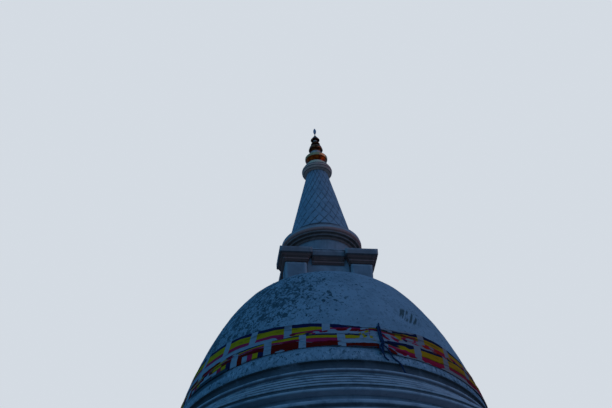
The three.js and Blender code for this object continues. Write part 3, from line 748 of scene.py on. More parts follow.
def make_dome(material):
    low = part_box("dome")[0][2]
    outline = [(dome_radius(z), z) for z in np.linspace(low, CROWN_START, DOME_LEVELS)]
    for z in np.linspace(CROWN_START, CROWN_END, CROWN_LEVELS)[1:]:
        above = z - CROWN_START
        outline.append((dome_radius(z), z - above * above / CROWN_SPREAD))
    profile = np.array([p for p in outline if p[0] > CROWN_HOLE])
    points = revolve(profile, DOME_SEGMENTS)
    out = points - np.array(NORMALS_FROM)
    out /= np.linalg.norm(out, axis=1)[:, None]
    clear = np.clip((points[:, 2] - CLOTH_TOP) / CLOTH_FADE, 0, 1)
    shift = 0.014 * rugged(points, 1.5, 3) + 0.005 * rugged(points, 0.35, 9, 2)
    points = points + out * (shift * clear)[:, None]
    # Darker towards the foot
    grime = np.clip((low + FOOT_TALL - points[:, 2]) / FOOT_TALL, 0, 1) * FOOT_DARKENING
    # Darker in a patch under the cloth's edge on one side
    turn = np.degrees(np.arctan2(points[:, 0], -points[:, 1]))
    dark_patch = np.exp(-(((turn - DARK_PATCH_AZIMUTH) / DARK_PATCH_WIDE) ** 4))
    dark_patch = dark_patch * np.exp(-(((points[:, 2] - DARK_PATCH_HEIGHT) / DARK_PATCH_TALL) ** 4))
    grime = np.maximum(grime, DARK_PATCH_SHARE * dark_patch)
    faces = tube(len(profile), DOME_SEGMENTS)
    return mesh_piece("dome_looks", points, faces, "dome", "plaster", material, grime=grime)


# The rope. The lashing lies at one azimuth, so its points are radii and heights

UPPER_END = [
    (0.7873, -4.262, 3.5663), (0.819, -4.2354, 3.6033), (0.8148, -4.1912, 3.6477), (0.801, -4.1695, 3.7046),
    (0.7878, -4.1548, 3.7642), (0.7849, -4.1354, 3.824), (0.7814, -4.1158, 3.8838), (0.7776, -4.096, 3.9434),
    (0.7738, -4.0759, 4.003), (0.7698, -4.0555, 4.0624), (0.7662, -4.035, 4.1218), (0.7653, -4.0155, 4.1817),
    (0.7658, -3.9846, 4.2364), (0.7627, -3.9377, 4.2777), (0.764, -3.8963, 4.3247), (0.7712, -3.8659, 4.3793),
    (0.7817, -3.8421, 4.4366),
]
TAIL = [
    (0.7873, -4.262, 3.4937), (0.8351, -4.255, 3.4604), (0.872, -4.2554, 3.4139), (0.9021, -4.2645, 3.3639),
    (0.9277, -4.2707, 3.3112), (0.951, -4.2556, 3.2589), (0.9777, -4.2347, 3.2103), (1.0111, -4.2216, 3.1637),
    (1.0502, -4.2247, 3.1193), (1.0938, -4.2255, 3.0792), (1.1402, -4.2239, 3.0423), (1.179, -4.2229, 2.9976),
    (1.209, -4.2217, 2.9466), (1.2273, -4.2198, 2.8902), (1.2456, -4.2184, 2.8338), (1.2663, -4.2183, 2.7783),
    (1.2943, -4.2229, 2.7263), (1.3433, -4.2262, 2.6956), (1.4013, -4.2181, 2.6884),
    (1.4574, -4.1993, 2.6889), (1.5106, -4.173, 2.689),
]
SHORT_END = [
    (0.7179, -4.2743, 3.4937), (0.6871, -4.2831, 3.4595), (0.6802, -4.2939, 3.4115),
    (0.6904, -4.3084, 3.3655), (0.7108, -4.3187, 3.3215), (0.7318, -4.3202, 3.2764),
    (0.7529, -4.3137, 3.2319), (0.7695, -4.2905, 3.1915), (0.7898, -4.2727, 3.1506),
    (0.8168, -4.2783, 3.1094), (0.8496, -4.2829, 3.0725), (0.8873, -4.2846, 3.04),
]
LASHING = [
    (4.334, 3.5905), (4.3226, 3.6423), (4.2745, 3.6733), (4.2455, 3.7219), (4.22545, 3.7754),
    (4.2083, 3.8299), (4.1904, 3.884), (4.1721, 3.9381), (4.1536, 3.9922), (4.1348, 4.0461), (4.1157, 4.1),
    (4.0998, 4.1547), (4.0746, 4.205), (4.02622, 4.2205), (4.0169, 4.1673), (4.0386, 4.1145),
    (4.0587, 4.0614), (4.0772, 4.0072), (4.0958, 3.953), (4.1142, 3.8989), (4.1326, 3.8447), (4.1508, 3.7905),
    (4.16848, 3.7364), (4.186, 3.682), (4.2033, 3.6275), (4.22032, 3.573), (4.2372, 3.5184), (4.2528, 3.4636),
    (4.2682, 3.4086), (4.2872, 3.3547), (4.3178, 3.3078), (4.3647, 3.312), (4.3687, 3.3675),
    (4.34413, 3.4191), (4.334, 3.4695),
]
ROPE_AZIMUTH = 10.0
ROPE_DIAMETER = 0.036
ROPE_SIDES = 18
ROPE_FILL = 0.98    # how much of its diameter the rope's middle fills
LOBE_DEPTH = 0.17
STRANDS = 3
TWIST_LENGTH = 0.16
LASHING_GIRTH = 1.5
KNOT_GIRTH = 1.2
KNOT_ROWS, KNOT_SIDES = 120, 14
KNOT_STRAND = 0.0165


def smooth_line(points, count):
    """A curve through the points, resampled to even steps, and its length."""
    path = np.array(points, float)
    ends = np.vstack([2 * path[0] - path[1], path, 2 * path[-1] - path[-2]])
    out = []
    for a, b, c, d in zip(ends, ends[1:], ends[2:], ends[3:]):
        for t in np.linspace(0, 1, 12, endpoint=False):
            out.append(0.5 * (2 * b + (c - a) * t + (2 * a - 5 * b + 4 * c - d) * t**2
                              + (3 * b - a - 3 * c + d) * t**3))
    out.append(path[-1])
    out = np.array(out)
    along = np.concatenate([[0], np.cumsum(np.linalg.norm(np.diff(out, axis=0), axis=1))])
    even = np.linspace(0, along[-1], count)
    return np.stack([np.interp(even, along, out[:, i]) for i in range(3)], 1), along[-1]


def row_round(centre, ahead, across, radii):
    """One row of points round a line."""
    up = np.cross(ahead, across)
    turns = [2 * math.pi * j / len(radii) for j in range(len(radii))]
    return [centre + r * (math.cos(t) * across + math.sin(t) * up) for r, t in zip(radii, turns)]


def twisted_rope(name, route, node, material, girth=1.0):
    """A twisted strip of cloth: a lobed section that winds along the route."""
    line, length = smooth_line(route, max(24, round(len(route) * 7)))
    ahead = np.gradient(line, axis=0)
    ahead /= np.linalg.norm(ahead, axis=1)[:, None]
    across = np.cross(ahead[0], [0.3, 0.2, 1])
    points = []
    for i, centre in enumerate(line):
        across = across - ahead[i] * np.dot(across, ahead[i])
        across /= np.linalg.norm(across)
        wind = 2 * math.pi * (i / (len(line) - 1)) * length / TWIST_LENGTH
        radii = []
        for j in range(ROPE_SIDES):
            turn = 2 * math.pi * j / ROPE_SIDES
            lobe = 1 + LOBE_DEPTH * math.cos(STRANDS * (turn + wind / STRANDS) + 0.4 * math.sin(wind * 0.37))
            radii.append(ROPE_DIAMETER / 2 * ROPE_FILL * lobe * girth)
        points += row_round(centre, ahead[i], across, radii)
    faces = tube(len(line), ROPE_SIDES)
    return mesh_piece(name, np.array(points), faces, node, "rope", material), length


def make_ropes():
    material = rope_material()
    for node, route in (("rope_upper_end", UPPER_END), ("rope_tail", TAIL), ("rope_short_end", SHORT_END)):
        piece, length = twisted_rope(node + "_looks", route, node, material)
        path = smooth_line(route, len(route) * 4)[0]
    turn = math.radians(ROPE_AZIMUTH)
    lashing = [(round(r * math.sin(turn), 4), round(-r * math.cos(turn), 4), z) for r, z in LASHING]
    twisted_rope("rope_lashing_looks", lashing, "rope_lashing", material, LASHING_GIRTH)
    make_knot(material)


def make_knot(material):
    """Two turns of the rope pulled tight round each other."""
    low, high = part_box("rope_knot")
    centre = (np.array(low) + np.array(high)) / 2
    half = (high[2] - low[2]) / 2 * KNOT_GIRTH
    out = centre * np.array([1, 1, 0])
    out /= np.linalg.norm(out)
    side = np.array([-out[1], out[0], 0])
    line = []
    for i in range(KNOT_ROWS):
        turn = 2 * math.pi * i / KNOT_ROWS
        a, b = 2 * turn, 3 * turn
        ring = 0.58 + 0.30 * math.cos(b)
        spot = centre + side * (half * 0.62 * ring * math.cos(a)) + out * (half * 0.25 * math.sin(b))
        line.append(spot + np.array([0, 0, half * ring * math.sin(a) * 0.95]))
    line = np.array(line)
    ahead = np.roll(line, -1, axis=0) - np.roll(line, 1, axis=0)
    ahead /= np.linalg.norm(ahead, axis=1)[:, None]
    skin = []
    for i in range(KNOT_ROWS):
        across = np.cross(ahead[i], out)
        across /= np.linalg.norm(across)
        turns = [2 * math.pi * j / KNOT_SIDES for j in range(KNOT_SIDES)]
        radii = [KNOT_STRAND * (1 + 0.12 * math.cos(3 * t + i * 0.6)) for t in turns]
        skin += row_round(line[i], ahead[i], across, radii)
    faces = quads(KNOT_ROWS, KNOT_SIDES, closed=True)
    mesh_piece("rope_knot_looks", np.array(skin), faces, "rope_knot", "rope", material)


# The flag cloth. A line of a run is how far it stands out, its usual print, and its points: azimuth, height,
# and the print where it isn't the usual one. The print counts the stripes from the top edge

UPPER_RUN = [
    (0.022, 0.45, [(-67, 4.67), (-57, 4.63), (-45, 4.585), (-38, 4.54), (-30, 4.49), (-24, 4.44),
     (-17.5, 4.41), (-11, 4.35), (-6, 4.3), (-1, 4.235, 0.8), (4, 4.195, 0.8), (8, 4.18, 0.8),
     (10, 4.17, 0.8), (12, 4.2, -0.8), (18, 4.25, -0.8), (24, 4.31, -0.8), (28, 4.34), (37, 4.32),
     (42, 4.27), (50, 4.17), (65, 4.16), (90, 4.24), (180, 4.45), (270, 4.62)]),
    (0.026, 1, [(-67, 4.55), (-57, 4.51), (-45, 4.475), (-38, 4.42), (-30, 4.37), (-24.5, 4.34),
     (-20, 4.28), (-15, 4.24), (-10.5, 4.2), (-6, 4.18), (0, 4.175), (8, 4.16), (12, 4.13, 0.2), (18, 4.13),
     (26, 4.18), (31, 4.19), (39, 4.19), (50, 4.08), (90, 4.15), (180, 4.36), (270, 4.53)]),
    (0.02, 2, [(-67, 4.31), (-57, 4.27), (-44, 4.24), (-38, 4.2), (-30, 4.18), (-24.5, 4.13), (-20, 4.1),
     (-15, 4.1), (-10.5, 4.12), (-6, 4.16), (0, 4.155), (8, 4.14), (12, 4.07, 2.2), (15, 4.06, 3.5),
     (18, 3.98), (21, 4.05), (26, 4.05), (31, 4), (39, 4), (50, 3.94), (90, 3.98), (180, 4.18), (270, 4.3)]),
    (0.024, 3, [(-67, 4.18), (-57, 4.14), (-44, 4.11), (-38, 4.08), (-30, 4.06), (-24, 4.045, 2.9),
     (-20, 4.06, 2.7), (-15, 4.075, 2.6), (-10, 4.06), (-6, 4.06), (0, 4.04), (8, 4.05), (13, 3.96, 3.2),
     (17, 3.88, 4.9), (20, 3.93, 2.9), (24, 3.93), (30, 3.87), (37, 3.82), (45, 3.86), (90, 3.85),
     (180, 4.05), (270, 4.17)]),
    (0.012, 3.4, [(-67, 4.1), (-44, 4.04, 3.5), (-30, 4.02), (-22, 4.035, 2), (-17, 4.05, 1.7),
     (-13, 4.045, 3), (-8, 4.02, 2.4), (-2, 4.01, 3.3), (2, 4.01), (5, 4.02, 1.5), (8, 4, 3.6), (13, 3.9),
     (17, 3.84, 3.5), (24, 3.88, 3.5), (30, 3.84, 3.3), (45, 3.82), (90, 3.8), (180, 3.98), (270, 4.08)]),
    (0.022, 3.8, [(-67, 4), (-44, 3.97, 4), (-30, 3.96, 3.9), (-22, 3.99, 1.4), (-16, 3.98, 0.5),
     (-12, 3.97, 3.4), (-8, 3.96, 2.8), (-2, 3.94, 3.7), (2, 3.92, 0.7), (5, 3.9, 1.8), (8, 3.88, 3.9),
     (13, 3.82, 3.7), (17, 3.78, 3.9), (24, 3.8, 3.9), (33, 3.8, 3.7), (45, 3.78), (90, 3.74), (180, 3.9),
     (270, 3.98)]),
    (0.006, 4.2, [(-67, 3.9), (-30, 3.88, 4.4), (0, 3.85), (17, 3.7), (40, 3.7), (90, 3.68), (180, 3.82),
     (270, 3.88)]),
    (0.004, 6, [(-67, 3.66), (0, 3.62), (17, 3.5), (90, 3.48), (180, 3.6), (270, 3.64)]),
]
LOWER_RUN = [
    (0.034, 0.6, [(-67, 3.8), (-57, 3.83), (-52, 3.87), (-47.6, 3.92, 0.7), (-42, 3.95, 0.7), (-36, 3.94),
     (-30, 3.93), (-25, 3.955, 0.7), (-20, 3.965), (-14, 3.945, 0.5), (-7, 3.93, 0.5), (0, 3.91, 0.5),
     (5, 3.88), (9, 3.82, 0.9), (12, 3.75, 0.1), (17, 3.77, 0.1), (21, 3.77, 0.1), (24, 3.77, 0.1),
     (28, 3.78, 0.1), (33, 3.81, 0.2), (36, 3.84, 0.2), (45, 3.86, 0.4), (55, 3.78, 0.5), (90, 3.8, 0.5),
     (180, 3.85, 0.5), (270, 3.82, 0.5)]),
    (0.042, 1, [(-67, 3.77), (-48, 3.885), (-36, 3.885), (-30, 3.915), (-25, 3.935), (-20, 3.91),
     (-14, 3.88), (-7, 3.86), (0, 3.86), (5, 3.84), (9, 3.74), (14, 3.6), (18, 3.68), (21, 3.6), (24, 3.66),
     (28, 3.69), (33, 3.69), (37, 3.72), (45, 3.75), (55, 3.68), (90, 3.7), (180, 3.76), (270, 3.76)]),
    (0.04, 2, [(-67, 3.74, 1.6), (-52, 3.8), (-48, 3.86, 1.5), (-36, 3.87, 1.2), (-30, 3.86), (-25, 3.84),
     (-20, 3.83), (-14, 3.79), (-7, 3.77), (0, 3.73), (5, 3.73), (9, 3.66), (14, 3.56), (18, 3.55),
     (21, 3.47), (24, 3.46), (28, 3.45), (33, 3.43), (38, 3.48), (48, 3.5), (60, 3.46), (90, 3.52),
     (180, 3.58), (270, 3.7, 1.8)]),
    (0.036, 2.05, [(-67, 3.73, 2.2), (-48, 3.85, 2.2), (-36, 3.86, 2.2), (-30, 3.85, 2.1), (-14, 3.785),
     (-6, 3.765), (-2, 3.72, 3.1), (8, 3.7, 3.1), (11, 3.62, 2.5), (14, 3.55), (24, 3.45), (38, 3.47),
     (48, 3.49), (90, 3.51), (180, 3.57), (270, 3.69, 2.1)]),
    (0.04, 2.9, [(-67, 3.71, 2.6), (-48, 3.83, 2.6), (-36, 3.81, 2.5), (-28, 3.79, 2.5), (-20, 3.76, 2.6),
     (-14, 3.64, 2.95), (-6, 3.62, 2.95), (-2, 3.57, 3.95), (8, 3.6, 3.95), (12, 3.5, 3), (18, 3.4),
     (33, 3.3), (38, 3.36, 2.95), (46, 3.36, 2.95), (60, 3.34), (90, 3.4), (180, 3.46), (270, 3.62)]),
    (0.03, 4.1, [(-67, 3.7), (-48, 3.82), (-36, 3.8), (-28, 3.78), (-20, 3.75), (-14, 3.63), (-6, 3.61),
     (-2, 3.56, 4.05), (8, 3.59, 4.05), (12, 3.49, 4.05), (18, 3.38, 2.95), (33, 3.285, 2.95),
     (38, 3.345, 3.1), (46, 3.345, 3.1), (60, 3.33, 3), (90, 3.39, 3.1), (180, 3.45, 3.6), (270, 3.61)]),
    (0.034, 4.9, [(-67, 3.6, 5), (-57, 3.62, 5), (-48, 3.69, 5), (-40, 3.69, 5), (-34, 3.67, 5),
     (-29, 3.54, 4.95), (-24, 3.52), (-14, 3.51), (0, 3.46), (8, 3.45), (13, 3.36), (18, 3.31, 2.97),
     (33, 3.265, 2.97), (38, 3.27, 3.6), (46, 3.27, 3.6), (60, 3.26, 3.4), (90, 3.33, 3.8), (180, 3.4, 4.6),
     (270, 3.5)]),
    (0.03, 5.95, [(-60.6, 3.41), (-49.6, 3.42), (-42.8, 3.44), (-31.5, 3.47), (-27, 3.47, 5.1),
     (-21.7, 3.475, 4.92), (-15.4, 3.475, 4.9), (-7.9, 3.465, 4.9), (0.5, 3.42, 4.86), (8, 3.42, 4.86),
     (10.5, 3.33, 4.9), (14.4, 3.28, 4), (25, 3.25, 2.99), (35, 3.24, 3), (44.7, 3.22, 3.9),
     (53, 3.22, 3.9), (90, 3.28, 3.9), (180, 3.36, 5), (270, 3.4, 5.9)]),
    (0.01, 5.6, [(-60, 3.45, 6.2), (-20, 3.5), (8, 3.46, 5.4), (12, 3.36, 5.2), (30, 3.28, 3.6),
     (60, 3.26, 4.5), (180, 3.4), (270, 3.44, 6.1)]),
]

# Where each repeat of the print begins, as (azimuth, repeat)
UPPER_REPEATS = [
    (-63, 0), (-49, 1), (-36, 2), (-21.6, 3), (-7.4, 4), (6.6, 5), (15.5, 6), (29.3, 7), (41.6, 8), (54, 9),
]
LOWER_REPEATS = [
    (-57, 0), (-42.5, 1), (-28.8, 2), (-16, 3), (-2.2, 4), (12.2, 5), (25.5, 6), (38, 7), (51, 8),
]
UPPER_REST, LOWER_REST = 17, 19  # repeats from the last of them round the back to the first

# Places where a fold turns another part of the print outwards, and places of painted shade and shadow:
# azimuth, height, half width in degrees, half height, slant in degrees a metre where it has one, and colour
FOLDS_AND_SHADE = [
    (-18.2, 4, 1.8, 0.034, YELLOW), (-15.5, 4.01, 1.4, 0.034, BLUE), (-8.8, 4.03, 2.4, 0.036, 40, CRIMSON),
    (-12.6, 4.03, 1.5, 0.03, WHITE), (-21.3, 4.04, 1.2, 0.04, CRIMSON), (-4, 4.19, 3.2, 0.034, BLUE),
    (-6.6, 4.02, 1.9, 0.08, WHITE), (-2.6, 4, 2.6, 0.05, WHITE), (1.6, 4, 2.4, 0.05, WHITE),
    (-3.3, 4.085, 2.2, 0.05, RED_IN_SHADOW), (1.6, 4.075, 2, 0.05, 15, RED_IN_SHADOW), (-0.6, 4.09, 0.6, 0.06, 10, WHITE),
    (7.4, 4.12, 2.2, 0.024, RED_IN_SHADOW), (1.4, 4.172, 3.6, 0.022, BLUE), (6.6, 4.172, 2.8, 0.014, SHADE),
    (-9.5, 3.62, 5, 0.036, RED_IN_SHADOW), (0.8, 3.95, 1.8, 0.032, WHITE), (-0.9, 3.9, 0.8, 0.03, BLUE),
    (2.5, 3.86, 1.5, 0.026, BLUE), (5.6, 4.02, 0.8, 0.06, 10, YELLOW), (4.2, 3.88, 0.5, 0.07, YELLOW),
    (6.5, 3.8, 0.9, 0.05, YELLOW), (4.6, 4.07, 1.3, 0.045, 30, RED_IN_SHADOW), (-7.3, 3.9, 1.8, 0.028, BLUE),
    (7.6, 3.96, 1.1, 0.09, WHITE), (4.8, 3.72, 3.2, 0.05, WHITE), (-2.2, 3.99, 1, 0.04, 20, WHITE),
    (12.1, 3.9, 1, 0.11, -12, CRIMSON), (13.8, 3.95, 0.8, 0.09, -12, WHITE),
    (15.2, 4.05, 2.4, 0.055, -25, LIT_ORANGE), (16.2, 3.88, 0.9, 0.08, -14, RED),
    (18.1, 3.97, 1.2, 0.085, -8, YELLOW), (20.6, 3.93, 0.9, 0.045, -10, BLUE),
    (13.9, 3.63, 2.2, 0.075, -20, BLUE), (21.4, 4.09, 2.2, 0.034, -30, LIT_ORANGE),
    (24.5, 4.11, 2.4, 0.03, -10, RED), (22.6, 3.99, 1.8, 0.05, WHITE), (24.7, 3.88, 1.3, 0.03, -30, RED),
    (29.3, 3.9, 1.8, 0.05, -10, LIT_ORANGE), (27, 3.83, 2, 0.034, -10, WHITE), (26.8, 3.97, 1.8, 0.06, WHITE),
    (32.4, 3.95, 1.2, 0.05, -10, WHITE), (35.4, 3.89, 2, 0.075, -10, LIT_ORANGE),
    (33.4, 3.81, 1.2, 0.03, -10, CRIMSON), (38.3, 3.82, 1.2, 0.05, -10, RED),
    (44, 3.83, 1.3, 0.04, -10, BLUE), (47.5, 3.93, 1.6, 0.07, -10, YELLOW),
    (41.5, 3.84, 1.5, 0.06, -10, YELLOW), (17.2, 3.4, 2.2, 0.06, -10, CRIMSON),
    (21.5, 3.33, 1.8, 0.04, CRIMSON), (41, 3.27, 4.6, 0.05, WHITE), (51.5, 3.38, 3.6, 0.11, CRIMSON),
    (51.5, 3.75, 1.6, 0.05, BLUE), (-57, 4.19, 4.5, 0.05, RED), (-57, 4.03, 4.5, 0.07, WHITE),
    (-58.5, 3.83, 2.6, 0.07, 10, RED), (-60, 3.74, 2, 0.04, 10, BLUE), (-52.6, 3.73, 2.6, 0.07, 8, YELLOW),
    (-51, 3.68, 0.9, 0.03, RED), (-47, 3.64, 0.9, 0.11, BLUE), (-46.3, 3.87, 1.8, 0.034, 10, CRIMSON),
    (-42.6, 3.91, 1.4, 0.03, SHADE), (-58, 3.6, 4.5, 0.045, WHITE), (-59, 3.43, 10, 0.12, SHADE),
    (-50, 3.47, 4.4, 0.08, SHADE), (-37, 3.79, 3.6, 0.022, CRIMSON), (-25.5, 3.49, 1.6, 0.03, WHITE),
    (-21.5, 3.77, 3.4, 0.026, CRIMSON), (1, 3.445, 3, 0.02, SHADE), (-9, 3.46, 5, 0.022, SHADE),
    (6, 3.44, 3, 0.02, SHADE), (8.8, 3.76, 1.3, 0.1, WHITE), (3.4, 3.8, 0.6, 0.07, WHITE),
    (5.8, 3.8, 0.5, 0.06, WHITE),
]

PULL_WIDE = 13.0    # degrees from the rope over which it pulls the cloth into creases
LIFT, LIFT_WIDE = 0.042, 4.5
GIRTH_RADIUS = 4.2  # the radius at which the cloth's creases are laid out
SHEAR, SHEAR_LEVEL = 2.2, 3.9
CREASE_DEPTH, CRUMPLE_DEPTH = 0.009, 0.0035
CALM_AZIMUTH, CALM_WIDE, CALM = -72, 14.0, 0.75
LEAST_OUT = 0.004
SWAY, FRILL = 0.010, 0.006
LEAN = -5.5         # degrees a metre by which the print leans on the right
CLOTH_COLUMNS = 1440
ROWS_BETWEEN = 5


def round_from(azimuth, middle):
    """Degrees round from a middle, from -180 to 180."""
    return (azimuth - middle + 180) % 360 - 180


def curve_at(table, azimuth, column):
    """A value round the dome, through a table's rows, eased and closed on itself."""
    rows = sorted(table)
    first, last = rows[0], rows[-1]
    x = np.array([last[0] - 360] + [r[0] for r in rows] + [first[0] + 360], float)
    y = np.array([last[column]] + [r[column] for r in rows] + [first[column]], float)
    place = (azimuth - first[0]) % 360 + first[0]
    i = np.clip(np.searchsorted(x, place, side="right") - 1, 0, len(x) - 2)
    share = (place - x[i]) / (x[i + 1] - x[i])
    share = share * share * (3 - 2 * share) * 0.5 + share * 0.5
    return y[i] + (y[i + 1] - y[i]) * share


def print_along(repeats, rest, azimuth):
    """How many flags along the cloth an azimuth is."""
    first, last = repeats[0], repeats[-1]
    x = [r[0] for r in repeats] + [first[0] + 360]
    y = [r[1] for r in repeats] + [last[1] + rest]
    return np.interp((azimuth - first[0]) % 360 + first[0], x, y)


def fold_colours_and_shade(azimuth, height, flat, seed):
    """The colour and share of the folds that turn another part of the print outwards, and of painted shade.
    """
    colour = np.zeros((len(flat), 4))
    ragged = 0.20 * rugged(flat, 0.11, seed, 2)
    for middle, level, wide, tall, *slant, tone in FOLDS_AND_SHADE:
        rise = height - level
        across = round_from(azimuth, middle) - sum(slant) * rise
        reach = np.hypot(across / wide, rise / tall) + ragged
        share = np.clip((1.08 - reach) / 0.16, 0, 1)[:, None]
        colour[:, :3] += (np.array(tone) - colour[:, :3]) * np.where(colour[:, 3:] > 0, share, share > 0)
        colour[:, 3:] = np.maximum(colour[:, 3:], share)
    return colour


def cloth_run(node, lines, repeats, rest, material, seed):
    """A band of cloth round the dome. Its lines are smoothed, then the cloth is wrinkled."""
    columns, rows = CLOTH_COLUMNS, (len(lines) - 1) * ROWS_BETWEEN + 1
    azimuth = ROPE_AZIMUTH + np.linspace(0, 360, columns, endpoint=False)
    tables = [[(*p, usual)[:3] for p in points] for _, usual, points in lines]
    height = np.array([curve_at(t, azimuth, 1) for t in tables])
    stripe = np.array([curve_at(t, azimuth, 2) for t in tables])
    stands = np.array([np.full(columns, line[0]) for line in lines])
    share = np.linspace(0, len(lines) - 1, rows)
    low = np.minimum(share.astype(int), len(lines) - 2)
    part = (share - low)[:, None]
    eased = part * part * (3 - 2 * part)
    z = height[low] * (1 - part) + height[low + 1] * part
    v = stripe[low] * (1 - part) + stripe[low + 1] * part
    o = stands[low] * (1 - eased) + stands[low + 1] * eased
    angle = np.radians(azimuth)[None, :].repeat(rows, 0)
    flat = np.stack([np.sin(angle) * GIRTH_RADIUS, -np.cos(angle) * GIRTH_RADIUS, z], -1).reshape(-1, 3)
    from_rope = round_from(azimuth, ROPE_AZIMUTH)[None, :]
    near = np.exp(-((from_rope / PULL_WIDE) ** 2))
    # The same places unrolled, sheared so that creases run slantwise down to the rope on either side
    unrolled = np.radians(azimuth)[None, :] * GIRTH_RADIUS + np.sign(from_rope) * SHEAR * (z - SHEAR_LEVEL)
    sheared = np.stack([unrolled, z, np.zeros_like(z)], -1).reshape(-1, 3)

    def waves(places, stretch, size, offset, octaves=2):
        return rugged(places * np.array(stretch), size, seed + offset, octaves).reshape(rows, columns)

    creases = waves(flat, (1, 1, 3.2), 0.7, 0, 3)
    crumples = waves(flat, (1, 1, 1.6), 0.16, 5)
    pulled = waves(sheared, (0.5, 3.0, 1), 0.22, 21)
    lift = LIFT * np.exp(-((from_rope / LIFT_WIDE) ** 2))
    o = o + lift + CREASE_DEPTH * creases + CRUMPLE_DEPTH * crumples
    o = o + near * (0.006 * crumples + 0.012 * pulled)
    o = o * (1 - CALM * np.exp(-(round_from(azimuth, CALM_AZIMUTH) / CALM_WIDE) ** 2))
    o = np.maximum(o, LEAST_OUT)
    sway, frill = waves(flat, (1, 1, 0.3), 0.55, 9), waves(flat, (1, 1, 0.2), 0.13, 15)
    z = z + SWAY * sway + FRILL * frill * (0.4 + near)
    lean = LEAN * np.maximum(np.sin(np.radians(azimuth)), 0)[None, :] * (z.mean(axis=0)[None, :] - z)
    along = print_along(repeats, rest, (azimuth[None, :] - lean).ravel())
    # Painted shade in the creases, more near the rope
    crease = np.clip((waves(sheared, (0.35, 3.4, 1), 0.30, 31, 3) - 0.32) / 0.45, 0, 1) * (0.45 + 0.40 * near)
    radius = dome_radius(z) + o
    points = np.stack([radius * np.sin(angle), -radius * np.cos(angle), z], -1).reshape(-1, 3)
    faces = [face[::-1] for face in quads(rows, columns)]
    wobble = 0.02 * noise_at(flat, 0.5, seed + 3)
    waver = 0.10 * waves(flat, (1, 1, 0.4), 0.22, 17) * (0.35 + near)
    folds_and_shadows = fold_colours_and_shade(np.degrees(angle).ravel(), z.ravel(), flat, seed + 13)
    piece = mesh_piece(node + "_looks", points, faces, node, "flag_cloth", material, print_u=along + wobble,
                       print_v=(v + waver).ravel(), crease=crease.ravel())
    layer = piece.data.attributes.new("turned_and_shaded", "FLOAT_COLOR", "POINT")
    layer.data.foreach_set("color", folds_and_shadows.astype(np.float32).ravel())
    return piece


# The order of making: camera and cords first

make_camera()
make_ropes()
make_stage()

FASCIA_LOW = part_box("pier_cornice_front_left")[1][2] - 0.206
LIP_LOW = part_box("drum_lip")[0][2] + 0.075
wall_coat = plaster("harmika_plaster", (0.32, 0.355, 0.39), (0.235, 0.26, 0.285), (0.085, 0.075, 0.065),
                    spots=0.3, streaks=0.35)
cornice_coat = plaster("cornice_plaster", (0.31, 0.27, 0.27), (0.23, 0.20, 0.20), (0.085, 0.050, 0.035),
                       spots=0.3, streaks=0.45, steps=FASCIA_LOW, highlight=0.5)
brown_coat = plaster("corbel_plaster", (0.40, 0.26, 0.22), (0.27, 0.17, 0.14), (0.08, 0.045, 0.03),
                     spots=0.2, streaks=0.45, highlight=0.15)
drum_coat = plaster("drum_plaster", (0.42, 0.44, 0.47), (0.31, 0.32, 0.34), (0.10, 0.085, 0.07),
                    spots=0.3, streaks=0.35)
lip_coat = plaster("lip_plaster", (0.46, 0.46, 0.48), (0.36, 0.35, 0.36), (0.10, 0.07, 0.055),
                   spots=0.3, streaks=0.35, steps=LIP_LOW, highlight=0.5)
base_coat = plaster("base_plaster", (0.42, 0.47, 0.51), (0.31, 0.35, 0.39), (0.10, 0.11, 0.11),
                    spots=0.25, streaks=0.40, side_shade=0.65)
# A darker copy of the limewash for the neck ring: painted shade
neck_coat = plaster("neck_plaster", (0.27, 0.30, 0.33), (0.20, 0.22, 0.25), (0.08, 0.09, 0.09),
                    spots=0.25, streaks=0.40, side_shade=0.4)

make_dome(dome_plaster())
BASE_RINGS = ("plinth", "lower_basal_ring", "middle_basal_ring", "upper_basal_ring", "stepped_moulding")
for i, name in enumerate((*BASE_RINGS, "dome_neck_ring")):
    coat, painted_shade = (base_coat, 0.7) if name in BASE_RINGS else (neck_coat, 1.0)
    turned_piece(name, "weathered_plaster", coat, corner=0.022, step=0.10, segments=300, seed=11 + i,
                 lumps=0.008, grime=painted_shade)

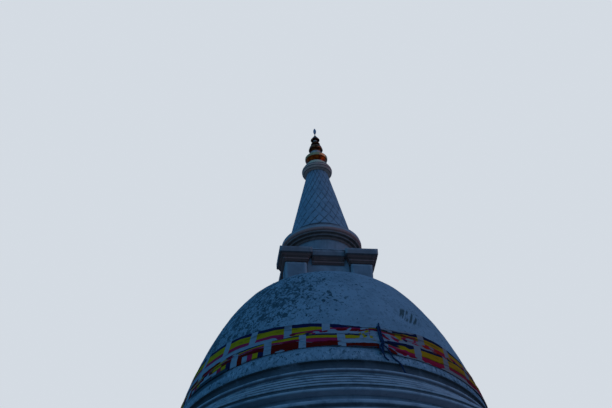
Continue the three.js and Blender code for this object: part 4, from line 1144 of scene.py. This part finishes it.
for i, corner in enumerate(("front_left", "front_right", "back_left", "back_right")):
    masonry_block("pier_" + corner, "plaster", wall_coat, seed=31 + i)
    masonry_block("pier_cornice_" + corner, "plaster", cornice_coat, seed=41 + i, bevel=0.010, grime=0.8)
for i, side in enumerate(("front", "right", "back", "left")):
    masonry_block("bay_cornice_" + side, "plaster", cornice_coat, seed=51 + i, bevel=0.010, grime=0.8)
masonry_block("harmika_core", "plaster", drum_coat, seed=61)
masonry_block("harmika_roof", "weathered_plaster", wall_coat, seed=62)

for i, (part, coat) in enumerate((("wall", drum_coat), ("corbels", brown_coat), ("lip", lip_coat))):
    turned_piece("drum_" + part, "plaster", coat, corner=0.012, step=0.06, segments=160, seed=71 + i,
                 lumps=0.003, grime=0.6)
turned_piece("spire", "spire_paint", spire_material(), corner=0.012, step=0.05, segments=200, seed=81,
             lumps=0.003, grime=0.2)
turned_piece("spire_collar", "collar_paint", collar_material(), corner=0.014, step=0.02, segments=128,
             seed=82, lumps=0.001, grime=0.2)

gilt = gilding_material("gilding", (1.0, 0.13, 0.006), (0.50, 0.040, 0.003), (0.12, 0.010, 0.003))
dark_gilt = gilding_material("tarnished_gilding", (0.55, 0.14, 0.05), (0.14, 0.020, 0.008),
                             (0.05, 0.008, 0.005))
# A paler, brighter copy of the gilding for the rim: a painted highlight
highlit_gilt = gilding_material("highlit_gilding", (1.0, 0.56, 0.26), (0.95, 0.44, 0.18), (0.45, 0.16, 0.06))
silver = pale_metal_material()
for i, (name, slot, material) in enumerate((
    ("gilt_bowl", "gilding", gilt), ("gilt_rim", "gilding", highlit_gilt), ("pale_band", "pale_metal", silver),
    ("finial_throat", "gilding", dark_gilt), ("lower_tier", "gilding", dark_gilt),
    ("upper_tier", "gilding", dark_gilt), ("finial_neck", "pale_metal", silver),
    ("gilt_cap", "gilding", dark_gilt), ("crystal_pin", "gilding", dark_gilt),
    ("crystal", "crystal_glass", crystal_material()),
)):
    turned_piece(name, slot, material, corner=0.01, step=0.012, segments=72, seed=91 + i,
                 lumps=0.0006, grime=1.0, size=0.08)

flag_paint = cloth_material()
upper = cloth_run("flag_cloth_upper", UPPER_RUN, UPPER_REPEATS, UPPER_REST, flag_paint, seed=101)
lower = cloth_run("flag_cloth_lower", LOWER_RUN, LOWER_REPEATS, LOWER_REST, flag_paint, seed=201)
